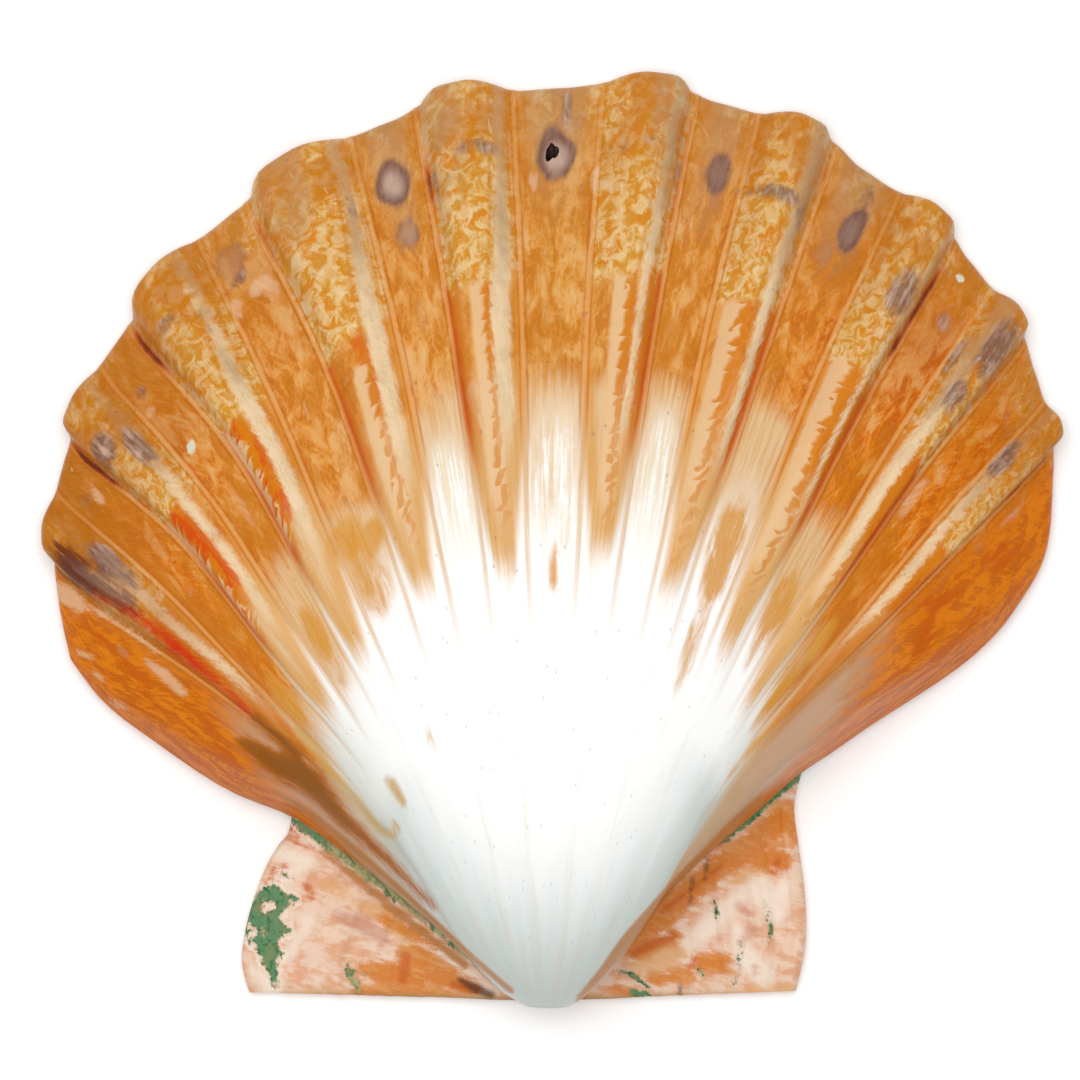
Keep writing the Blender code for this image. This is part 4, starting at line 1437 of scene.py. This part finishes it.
# The hole, its wall painted near black as the shade seen down it, and the hollow.
HOLE_SHADE_BLACK = (0.010, 0.004, 0.003)
HOLE_SHADE_BROWN = (0.045, 0.018, 0.010)
PORCELAIN = (0.88, 0.84, 0.78)
HOLLOW_CREAM = (0.84, 0.74, 0.62)
HOLLOW_SCAR = (0.86, 0.83, 0.82)
HOLLOW_ORANGE = (0.72, 0.36, 0.14)
HOLLOW_PURPLE = (0.30, 0.13, 0.09)
HOLLOW_BROWN = (0.36, 0.22, 0.12)


def pick(grain, *names):
    """Some of the grain's textures."""
    return [grain[name] for name in names]


def frayed(value, *frays):
    """A field whose edge is frayed by textures, each with its strength."""
    for texture, strength in frays:
        value = value + (texture - 0.5) * strength
    return value


def orange_skin(get, grain):
    """The orange skin: peach to rust, and worn thin to tan beside the white."""
    home, stage = get("home"), get("stage")
    fine, thread, streak, patch, cloud = pick(grain, "Fine", "Thread", "Streak", "Patch", "Cloud")
    tone = thread * 0.14 + patch * 0.64 + fine * 0.22
    soft = blend(PEACH, APRICOT, tone.rise(0.39, 0.53))
    soft = blend(soft, AMBER, tone.rise(0.48, 0.62) * 0.8)
    strong = blend(ORANGE, RUST, tone.rise(0.46, 0.60))
    strong = blend(strong, APRICOT, tone.rise(0.47, 0.38) * 0.7)
    skin = blend(soft, strong, get("rich"))
    skin = blend(skin, AMBER, (cloud * 0.7 + patch * 0.3).rise(0.50, 0.62) * 0.6)
    skin = blend(skin, PEACH_BLUSH, (cloud * 0.6 + patch * 0.4).rise(0.47, 0.37) * 0.4)
    # Painted shade in the valleys beside the ribs' steep outer sides.
    skin = blend(skin, AMBER_SHADE, get("lee").rise(0.1, 1.0) * tone.rise(0.36, 0.54) * 0.75)
    hairs = grain["Hair"] * patch.rise(0.52, 0.34) * 0.2
    skin = blend(skin, PINK_THREAD, hairs + thread.rise(0.42, 0.24) * 0.25)

    tan = blend(TAN, TAN_PINK, streak.rise(0.4, 0.6))
    tan = blend(tan, EDGE_TAN, frayed(get("tongue"), (streak, 1.5)).between(-1.5, 0.6, 0.5) * 0.65)
    colour = blend(skin, tan, frayed(get("thin"), (streak, 0.45), (patch, 0.7)).rise(0.12, 0.88))
    side = home.rise(1.3, 0.6).most(home.rise(8.6, 9.2) * stage.rise(0.74, 0.62)) * stage.rise(0.46, 0.56)
    return blend(colour, SIDE_ORANGE, side * (0.35 + patch * 1.0) * get("white").rise(0.9, 0.4))


def rib_colour(colour, get, grain):
    """On each rib: outer band reddened by painted shade on its steep side, orange strip, toothed cream wedge,
    gold crest and pale stripe.
    """
    stage, outer = get("stage"), get("outer")
    mottle, fine, thread, streak, patch = pick(grain, "Mottle", "Fine", "Thread", "Streak", "Patch")
    # The band beside the outer cord: orange, turning red near the cord as painted shade on the rib's steep
    # outer side.
    shaded_band = blend(BAND_ORANGE, BAND_SHADE_RED, outer.rise(1.5, 0.2) * (mottle * 1.5 + 0.1))
    band = frayed(outer, (patch, 4.0), (thread, 1.5)).rise(3.2, 0.6)
    colour = blend(colour, shaded_band, band * stage.rise(0.585, 0.66) * 0.85)
    inner_band = frayed(get("inner"), (thread, 1.5)).rise(1.8, 0.5)
    colour = blend(colour, INNER_ORANGE, inner_band * stage.rise(0.62, 0.70) * 0.7)

    red = blend(STRIP_AMBER, STRIP_RED, get("strip_red") * mottle.rise(0.42, 0.54))
    strip = frayed(get("strip"), (fine, 0.6), (mottle, 1.4)).rise(-0.25, 0.20)
    colour = blend(colour, red, strip * (0.25 + get("strip_red") * 0.75) * stage.rise(0.60, 0.72))
    edge = get("wedge_right") + grain["Tooth"] * get("teeth")
    beside = edge.between(-0.95, 0.0, 0.12) * get("wedge").rise(-1.2, 0.2)
    colour = blend(colour, TEETH_ORANGE, beside * (0.2 + mottle * 0.8))
    wedge = frayed(get("wedge").least(edge), (fine, 0.4), (streak, 0.4))
    cream = blend(WEDGE_CREAM, TAN_PINK, streak.rise(0.45, 0.6) * 0.6)
    colour = blend(colour, cream, wedge.rise(-0.35, 0.35) * 0.9)

    gild = grain["Wisp"] * 0.82 + fine * 0.18
    flakes = blend(GOLD, GOLD_LIGHT, gild.rise(0.42, 0.55))
    flakes = blend(flakes, GOLD_THREAD, gild.rise(0.52, 0.70) * 0.65)
    flakes = blend(flakes, ORANGE, (gild * 0.5 + patch * 0.5).rise(0.50, 0.40) * 0.55)
    flakes = blend(flakes, GOLD_THREAD, grain["Feather"] * gild.rise(0.44, 0.56) * 0.5)
    flakes = blend(flakes, AMBER, stage.rise(0.87, 0.97) * mottle.rise(0.40, 0.56) * 0.7)
    colour = blend(colour, flakes, frayed(get("gold") * 1.2, (patch, 1.4), (fine, 0.5)).rise(0.20, 0.85))
    grey_edge = frayed(outer, (thread, 0.8)).between(0.5, 1.4, 0.4)
    grey_edge = grey_edge * stage.rise(0.80, 0.90) * grain["Wisp"].rise(0.36, 0.56)
    colour = blend(colour, STRIPE_GREY, grey_edge * 0.7)

    smooth = blend(STRIPE_CREAM, STRIPE_GREY, frayed(stage, (mottle, 0.35)).rise(0.80, 0.94))
    smooth = blend(smooth, TAN_PINK, streak.rise(0.48, 0.62) * 0.4)
    smooth = blend(smooth, STRIPE_GREY, (patch * 0.7 + fine * 0.3).rise(0.48, 0.62) * 0.30)
    # A line of painted shade beside the pale stripe.
    beside = get("stripe").between(-0.75, -0.30, 0.2) * stage.rise(0.66, 0.74)
    colour = blend(colour, AMBER_SHADE, beside * 0.45)
    stripe = frayed(get("stripe"), (fine, 1.0), (thread, 1.2)).rise(-0.35, 0.50) * stage.rise(0.60, 0.68)
    colour = blend(colour, smooth, stripe * (0.93 - stage.rise(0.86, 0.97) * 0.40))
    # Painted shade darkening the skin towards the margin.
    return blend(colour, blend(AMBER, SHADE_BLACK, 0.35 * thread), get("dusk") * (0.35 + mottle * 1.0))


def dome_colour(colour, get, grain, gap):
    """The greyed rim, the bare white dome with its torn upper edge and painted shade greying it towards the
    beak and the sides, and the blotches left on it.
    """
    home, stage = get("home"), get("stage")
    fine, thread, streak, patch = pick(grain, "Fine", "Thread", "Streak", "Patch")
    rim = home.between(3.35, 7.4, 0.35) * frayed(stage, (patch, 0.25)).rise(0.85, 0.94) * gap.rise(0.8, 3.2)
    colour = blend(colour, RIM_GREY, rim * get("inner").rise(6.0, 8.0) * (0.05 + patch * 0.6))
    narrowed = 1.0 - gap.rise(2.4, 0.2) * stage.rise(0.54, 0.68) * 0.75
    bare = frayed(get("white") * 1.2, (streak, 0.5), (fine, 0.15)).rise(0.10, 0.98) * narrowed
    # Painted shade: the white turns cooler and greyer towards the beak, and greyer on the sides, away from
    # the lit centre.
    dome = blend(WHITE, COOL_SHADED_WHITE, get("dim").rise(0.45, 0.8))
    dome = blend(dome, BEAK_SHADE_GREY, frayed(get("dim"), (grain["Cloud"], 0.15)).rise(0.45, 1.05) * 0.85)
    dome = blend(dome, DOME_SHADE, get("sideways") * stage.rise(0.33, 0.42) * 0.9)
    dome = blend(dome, FRINGE_CREAM, frayed(streak, (fine, 0.2)).rise(0.30, 0.58) * stage.rise(0.49, 0.64))
    colour = blend(colour, dome, bare)
    blotch = (get("blotch") * ((streak - 0.5) * 1.8 + (patch - 0.5) * 2.6 + 1.3)).rise(0.10, 1.15)
    tint = blend(BLOTCH, TAN, (thread * 0.5 + streak * 0.5).rise(0.44, 0.60) * 0.4)
    return blend(colour, tint, blotch * 0.9)


def cord_colour(colour, get, grain, gap):
    """The thin cords beside the ribs, light on a dark line of painted shade, and the creases, painted with a
    red glow of bounced light and with nearly black shade.
    """
    stage, cords = get("stage"), get("cords")
    mottle, streak, patch = pick(grain, "Mottle", "Streak", "Patch")
    high = stage.rise(0.60, 0.68)
    fading = cords * (1.0 - stage.rise(0.84, 0.97) * 0.55)
    shade = gap.between(0.35, 0.62, 0.18) * fading * high
    colour = blend(colour, CORD_SHADE, shade * (0.25 + mottle * 0.7))
    colour = blend(colour, CORD_TAN, gap.rise(0.55, 0.15) * cords * (1.0 - high) * (0.25 + streak * 0.9))
    colour = blend(colour, CORD_LIGHT, gap.rise(0.36, 0.12) * fading * high * 0.65)
    # Painted red glow of bounced light in the creases, then their nearly black painted shade.
    colour = blend(colour, CREASE_GLOW_RED, get("crease") * (0.35 + mottle * 0.8))
    crease_darkness = get("soot") * ((patch - 0.5) * 1.6 + 1.25)
    return blend(colour, blend(BAND_SHADE_RED, SHADE_BLACK, crease_darkness.rise(0.3, 1.1)), crease_darkness.rise(0.05, 1.0) * 0.92)


def mark_colour(colour, get, grain, specks):
    """Violet stains, red and dark folds, pale patches, ringed scars, chips, scratches and pits."""
    mottle, fine, thread, streak, patch = pick(grain, "Mottle", "Fine", "Thread", "Streak", "Patch")
    stain = (get("violet") * ((patch - 0.5) * 2.6 + (thread - 0.5) * 1.0 + 1.25)).rise(0.20, 1.0)
    smudge = (patch * 0.5 + mottle * 0.2 + streak * 0.3).rise(0.46, 0.64) * 0.85
    colour = blend(colour, blend(VIOLET_DARK, LILAC_WHITE, smudge), stain * 0.82)
    red = frayed(get("red_fold"), (thread, 1.2), (patch, 1.5))
    colour = blend(colour, FOLD_RED, red.rise(-1.0, 0.5) * 0.9)
    dark = frayed(get("dark_fold"), (streak, 3.0), (patch, 1.5))
    colour = blend(colour, FOLD_DARK, dark.rise(-0.8, 0.8) * 0.85)
    folded = blend(FOLD_LILAC, VIOLET_DARK, (streak * 0.6 + patch * 0.4).rise(0.46, 0.56) * 0.7)
    lilac = frayed(get("lilac_fold"), (streak, 3.0), (patch, 1.5))
    colour = blend(colour, folded, lilac.rise(-0.6, 0.9) * 0.75)
    pale = (get("pale") * ((thread - 0.5) * 2.0 + (patch - 0.5) * 2.5 + 1.3)).rise(0.30, 1.15)
    pale = pale.most(frayed(get("pale_line"), (thread, 1.6), (fine, 0.8)).rise(-0.3, 0.5))
    colour = blend(colour, PALE, pale * 0.5)
    bruise = blend(VIOLET_DARK, VIOLET, (patch * 0.6 + streak * 0.4).rise(0.42, 0.58))
    bruise = blend(bruise, LILAC_WHITE, get("heart") * (0.4 + patch * 0.9))
    colour = blend(colour, bruise, (get("scar") * ((patch - 0.5) * 1.2 + 1.1)).rise(0.05, 0.85) * 0.92)
    colour = blend(colour, CHIP_WHITE, (get("chip") * ((fine - 0.5) * 1.6 + 1.2)).rise(0.35, 0.75))
    colour = blend(colour, PALE, specks["Scratches"] * 0.6 * get("stage").rise(0.6, 0.7))
    return blend(colour, VIOLET, specks["Pits"] * 0.35)


def flank_colour(colour, get, grain):
    """The steep plain sides: orange, worn tan, a tan loop and the brown lines along the ears' seams."""
    home, stage = get("home"), get("stage")
    thread, fine, mottle, patch = pick(grain, "Thread", "Fine", "Mottle", "Patch")
    flank = home.rise(0.30, 0.05).most(home.rise(9.72, 9.95))
    lowered = home.rise(9.8, 11.0) * 0.05 + home.rise(0.1, -0.5) * 0.05
    aged = frayed(stage + 0.02 + lowered, (thread, 0.06), (patch, 0.12)).rise(0.75, 0.63)
    orange = blend(FLANK_ORANGE, ORANGE, (patch * 0.7 + thread * 0.3).rise(0.42, 0.56))
    orange = blend(orange, RUST, mottle.rise(0.5, 0.66))
    worn = blend(FLANK_TAN, FLANK_PINK, grain["Cloud"].rise(0.40, 0.62))
    worn = blend(worn, FLANK_GREY, stage.rise(0.56, 0.46) * home.rise(0.6, -0.2))
    shown = flank * (1.0 - get("white")) * (1.0 - get("pale")) * get("pale_line").rise(0.4, -0.4)
    colour = blend(colour, blend(orange, worn, aged * 0.9), shown * 0.9)
    colour = blend(colour, LOOP_TAN, frayed(get("loop"), (fine, 0.3)).rise(-0.65, 0.30) * 0.8)
    depth = frayed(get("streak"), (thread, 0.8), (patch, 1.6))
    streak = blend(STREAK_RUST, STREAK_BROWN, depth.rise(-0.3, 1.2))
    colour = blend(colour, streak, depth.rise(-1.0, 0.5) * 0.95)
    return blend(colour, SEAM_BROWN, frayed(get("seam"), (thread, 0.5)).rise(-0.35, 0.2) * 0.85)


def ear_colour(get, grain, place_x, place_y):
    """The worn pink ears with their orange patches, and painted shade along the hinge edge."""
    fine, mottle = pick(grain, "Fine", "Mottle")
    streaks = noise(place_x * 0.12 - place_y * 0.30, place_y * 0.60 + place_x * 0.24, 4.0, 0.68)
    colour = blend(EAR_CREAM, EAR_PINK, (streaks * 0.7 + mottle * 0.4).rise(0.46, 0.66))
    orange = blend(EAR_ORANGE, EAR_APRICOT, (streaks * 0.8 + fine * 0.2).rise(0.48, 0.62) * 0.5)
    wander = (streaks - 0.5) * 2.6 + (fine - 0.5) * 1.2
    # Each layer's colour, field, how far its edge wanders, where it begins and is full, and strength.
    for tint, name, drift, begun, full, strength in (
        (EAR_WHITE, "ear_pale", 1.0, -0.8, 1.0, 0.75),
        (EAR_APRICOT, "ear_apricot", 1.0, -0.8, 0.9, 0.8),
        (orange, "ear_orange", 1.1, -0.6, 0.7, 0.9),
        (EAR_ROSE, "ear_rose", 0.6, -0.6, 0.7, 0.6),
        (EAR_RED, "ear_red", 0.6, -0.5, 0.4, 0.65),
    ):
        colour = blend(colour, tint, (get(name) + wander * drift).rise(begun, full) * strength)
    # Painted shade along the hinge edge: tan, then darker at the very edge.
    colour = blend(colour, EAR_TAN_AND_HINGE_SHADE, (place_y + wander * 0.5).rise(-61.6, -62.9) * 0.8)
    colour = blend(colour, SEAM_BROWN, (get("seam") + wander * 0.3).rise(-0.5, 0.2) * 0.85)
    colour = blend(colour, EAR_EDGE_SHADE, (place_y + wander * 0.1).rise(-62.3, -63.0) * 0.6)
    return blend(colour, EAR_DARK, (get("ear_dark") + wander * 0.35).rise(-0.6, 0.35) * 0.85)


def crust_colour(colour, get, place_x, place_y, place_z):
    """Green crusts on the ears and along the seams, olive where they lie under the steep side."""
    x, y = place_x + place_z * 0.9, place_y - place_z * 0.7
    grit = noise(x * 1.1, y * 1.1, 4.0, 0.7)
    lumps = noise(x * 0.45 + 9.0, y * 0.45, 3.0, 0.6)
    green = blend(CRUST_GREEN, CRUST_DARK, grit.rise(0.52, 0.66))
    green = blend(green, CRUST_OLIVE, lumps.rise(0.52, 0.66) * 0.6)
    olive = blend(CRUST_OLIVE, CRUST_TAN, grit.rise(0.42, 0.54))
    olive = blend(olive, CRUST_DARK, lumps.rise(0.50, 0.64) * 0.7)
    tone = blend(green, olive, place_x.between(-31.0, -7.5, 1.5))
    jagged = frayed(get("crust") - place_x.rise(8.0, 14.0) * 0.08, (grit, 1.6), (lumps, 1.0))
    rim = jagged.between(-0.45, 0.0, 0.1) * place_x.rise(-30.0, -34.0)
    colour = blend(colour, EAR_WHITE, rim * 0.6)
    return blend(colour, tone, jagged.rise(0.0, 0.28))


# The polish shared by all surfaces, the height of each one's finest relief, and its roughness.
SPECULAR = 0.12
COAT_WEIGHT = 0.05
COAT_ROUGHNESS = 0.12
RELIEF_STRENGTH = 0.5
SKIN_RELIEF, HOLLOW_RELIEF, HOLE_RELIEF = 0.12 * MM, 0.08 * MM, 0.10 * MM
SKIN_ROUGHNESS, HOLLOW_ROUGHNESS, HOLE_ROUGHNESS = 0.26, 0.16, 0.7


def finish_surface(material, colour, roughness, height, depth):
    """The polished surface itself, with its fine relief."""
    tree = material.node_tree
    shader = tree.nodes["Principled BSDF"]
    join(colour, shader.inputs["Base Color"])
    join(roughness, shader.inputs["Roughness"])
    shader.inputs["Specular IOR Level"].default_value = SPECULAR
    shader.inputs["Coat Weight"].default_value = COAT_WEIGHT
    shader.inputs["Coat Roughness"].default_value = COAT_ROUGHNESS
    bump_node = tree.nodes.new("ShaderNodeBump")
    bump_node.inputs["Strength"].default_value = RELIEF_STRENGTH
    bump_node.inputs["Distance"].default_value = depth
    join(height, bump_node.inputs["Height"])
    join(Tone(bump_node.outputs["Normal"]), shader.inputs["Normal"])


def start_surface(material):
    """A new node tree, a reader of the piece's fields, and the place on the piece in metres."""
    material.use_nodes = True
    tree = material.node_tree
    fields = {}

    def get(name):
        if name not in fields:
            fields[name] = field(tree, name)
        return fields[name]

    place = tree.nodes.new("ShaderNodeSeparateXYZ")
    join(Tone(tree.nodes.new("ShaderNodeTexCoord").outputs["Object"]), place.inputs[0])
    return tree, get, [Tone(place.outputs[axis]) for axis in "XYZ"]


def paint_skin(material, grain_group, speck_group):
    """The outside of the valve."""
    tree, get, place = start_surface(material)
    x_mm, y_mm, z_mm = (axis * 1000.0 for axis in place)
    home, stage = get("home"), get("stage")
    grain = use_group(tree, grain_group, Home=home, Stage=stage)
    specks = use_group(tree, speck_group, Home=home, Stage=stage)
    fine = grain["Fine"]
    colour = rib_colour(orange_skin(get, grain), get, grain)
    gap = ((home * 2.0).math("FRACT") - 0.5).math("ABSOLUTE") * 0.5 * get("pitch") + (fine - 0.5) * 0.12
    colour = dome_colour(colour, get, grain, gap)
    colour = cord_colour(colour, get, grain, gap)
    colour = mark_colour(colour, get, grain, specks)
    colour = flank_colour(colour, get, grain)
    colour = blend(colour, ear_colour(get, grain, x_mm, y_mm), get("ear"))
    colour = crust_colour(colour, get, x_mm, y_mm, z_mm)
    crust = (get("crust") + (fine - 0.5)).rise(-0.1, 0.2)
    height = fine * 0.35 + grain["Thread"] * 0.5 + grain["Growth"] * 0.35
    height = height + grain["Feather"] * get("gold") * 0.5
    height = height * stage.rise(0.35, 0.65) + crust * 1.5 - specks["Pits"] - specks["Scratches"] * 0.5
    roughness = SKIN_ROUGHNESS + fine * 0.10 + get("ear") * 0.18 + crust * 0.25
    finish_surface(material, colour, roughness, height, SKIN_RELIEF)


def paint_hollow(material, grain_group, speck_group):
    """The porcelain hollow, with its coloured border, muscle scar and brown hinge pit."""
    tree, get, place = start_surface(material)
    x_mm, y_mm = (axis * 1000.0 for axis in place[:2])
    stage, muscle = get("stage"), get("muscle")
    grain = use_group(tree, grain_group, Home=get("home"), Stage=stage)
    specks = use_group(tree, speck_group, Home=get("home"), Stage=stage)
    thread, cloud, mottle = pick(grain, "Thread", "Cloud", "Mottle")
    colour = blend(PORCELAIN, HOLLOW_CREAM, cloud.rise(0.42, 0.64))
    colour = blend(colour, HOLLOW_SCAR, muscle.rise(1.02, 0.96) * 0.7)
    colour = blend(colour, TAN, muscle.between(0.96, 1.04, 0.03) * 0.35)
    border = frayed(stage, (thread, 0.08)).rise(0.83, 0.93)
    colour = blend(colour, blend(HOLLOW_ORANGE, PEACH, mottle.rise(0.45, 0.6)), border * 0.8)
    rim = frayed(stage, (thread, 0.03)).rise(0.945, 0.985)
    colour = blend(colour, blend(HOLLOW_PURPLE, HOLLOW_ORANGE, mottle.rise(0.45, 0.62)), rim * 0.8)
    plate = y_mm.rise(-56.0, -59.5)
    colour = blend(colour, EAR_TAN_AND_HINGE_SHADE, plate * (0.4 + mottle * 0.6) * 0.7)
    pit = x_mm.between(-3.6, 1.6, 0.8) * y_mm.rise(-57.5, -60.0)
    colour = blend(colour, HOLLOW_BROWN, pit * 0.85)
    colour = blend(colour, HOLLOW_BROWN, specks["Pits"] * 0.5)
    height = grain["Growth"] * 0.6 + thread * 0.3 - specks["Pits"]
    roughness = HOLLOW_ROUGHNESS + mottle * 0.10 + border * 0.08 + plate * 0.2
    finish_surface(material, colour, roughness, height, HOLLOW_RELIEF)


def paint_hole(material):
    """The wall of the borer's hole, painted near black as the shade seen down the hole, with a crust of grit.
    """
    _, _, (x, _, z) = start_surface(material)
    grit = noise(x * GRIT_PER_METRE, z * GRIT_PER_METRE, 3.0)
    # Painted shade: the dark seen down the hole.
    colour = blend(HOLE_SHADE_BLACK, HOLE_SHADE_BROWN, grit.rise(0.5, 0.7))
    finish_surface(material, colour, HOLE_ROUGHNESS + grit * 0.2, grit, HOLE_RELIEF)


# ---------------------------------------------------------------- floor, lamps and camera

CAMERA_AT = (-1.682 * MM, -0.14 * MM)
CAMERA_LENS = 400.0
SENSOR_WIDTH = 36.0
FRAME_WIDTH = 147.68 * MM
FOCUS_HEIGHT = 3.0 * MM
FLOOR_SIZE = 6.0
FLOOR_AT = (0.0, 0.0, -0.05 * MM)
FLOOR_GREY = (0.93, 0.93, 0.93)
FLOOR_GLOW = 0.12
ROOM_LIGHT = 0.58
LAMP_AT, LAMP_SIZE, LAMP_POWER = (-0.1, 0.2, 1.2), 1.2, 9.5


def add_floor():
    """A plain pale floor: white to the camera, and darker only in the shell's soft shadow."""
    bpy.ops.object.select_all(action="DESELECT")
    bpy.ops.mesh.primitive_plane_add(size=FLOOR_SIZE, location=FLOOR_AT)
    floor = bpy.context.object
    floor.name = floor.data.name = "pale_floor"
    material = bpy.data.materials.new("pale_floor")
    material.use_nodes = True
    shader = material.node_tree.nodes["Principled BSDF"]
    join(FLOOR_GREY, shader.inputs["Base Color"])
    shader.inputs["Roughness"].default_value = 0.9
    shader.inputs["Specular IOR Level"].default_value = 0.1
    shader.inputs["Emission Strength"].default_value = 1.0
    path = material.node_tree.nodes.new("ShaderNodeLightPath")
    glow = Tone(path.outputs["Is Camera Ray"]).most(Tone(path.outputs["Is Glossy Ray"])) * FLOOR_GLOW
    join(point(material.node_tree, glow, glow, glow), shader.inputs["Emission Color"])
    floor.data.materials.append(material)


def add_world():
    """White for the camera and for transmitted rays, a plain soft light for the rest."""
    world = bpy.data.worlds.new("pale_room")
    bpy.context.scene.world = world
    world.use_nodes = True
    tree = world.node_tree
    background = tree.nodes["Background"]
    background.inputs["Color"].default_value = (1.0, 1.0, 1.0, 1.0)
    path = tree.nodes.new("ShaderNodeLightPath")
    seen = Tone(path.outputs["Is Camera Ray"]).most(Tone(path.outputs["Is Transmission Ray"]))
    join(ROOM_LIGHT + seen * (1.0 - ROOM_LIGHT), background.inputs["Strength"])


def add_lamp(name, place, size, power):
    """A large soft lamp aimed at the shell."""
    bpy.ops.object.light_add(type="AREA", location=place)
    lamp = bpy.context.object
    lamp.name = lamp.data.name = name
    lamp.data.shape = "DISK"
    lamp.data.size = size
    lamp.data.energy = power
    away = -lamp.location
    lamp.rotation_euler = away.to_track_quat("-Z", "Y").to_euler()


def add_camera():
    """A long lens straight above, as far off as frames the shell."""
    distance = FRAME_WIDTH * CAMERA_LENS / SENSOR_WIDTH
    bpy.ops.object.camera_add(location=(*CAMERA_AT, FOCUS_HEIGHT + distance), rotation=(0.0, 0.0, 0.0))
    camera = bpy.context.object
    camera.data.type = "PERSP"
    camera.data.lens = CAMERA_LENS
    camera.data.sensor_width = SENSOR_WIDTH
    camera.data.clip_end = 20.0
    camera.data.dof.use_dof = False
    bpy.context.scene.camera = camera


add_camera()
valve = build_valve()
grain_group = make_group("shell_grain", ("Home", "Stage"), GRAIN_NAMES, shell_grain)
speck_group = make_group("worn_specks", ("Home", "Stage"), ("Pits", "Scratches"), worn_specks)
paint_skin(valve.data.materials[0], grain_group, speck_group)
paint_hollow(valve.data.materials[1], grain_group, speck_group)
paint_hole(valve.data.materials[2])
add_floor()
add_world()
add_lamp("overhead_lamp", LAMP_AT, LAMP_SIZE, LAMP_POWER)

bpy.context.scene.view_settings.view_transform = "Standard"
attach(valve, "root")
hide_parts("shell_valve")
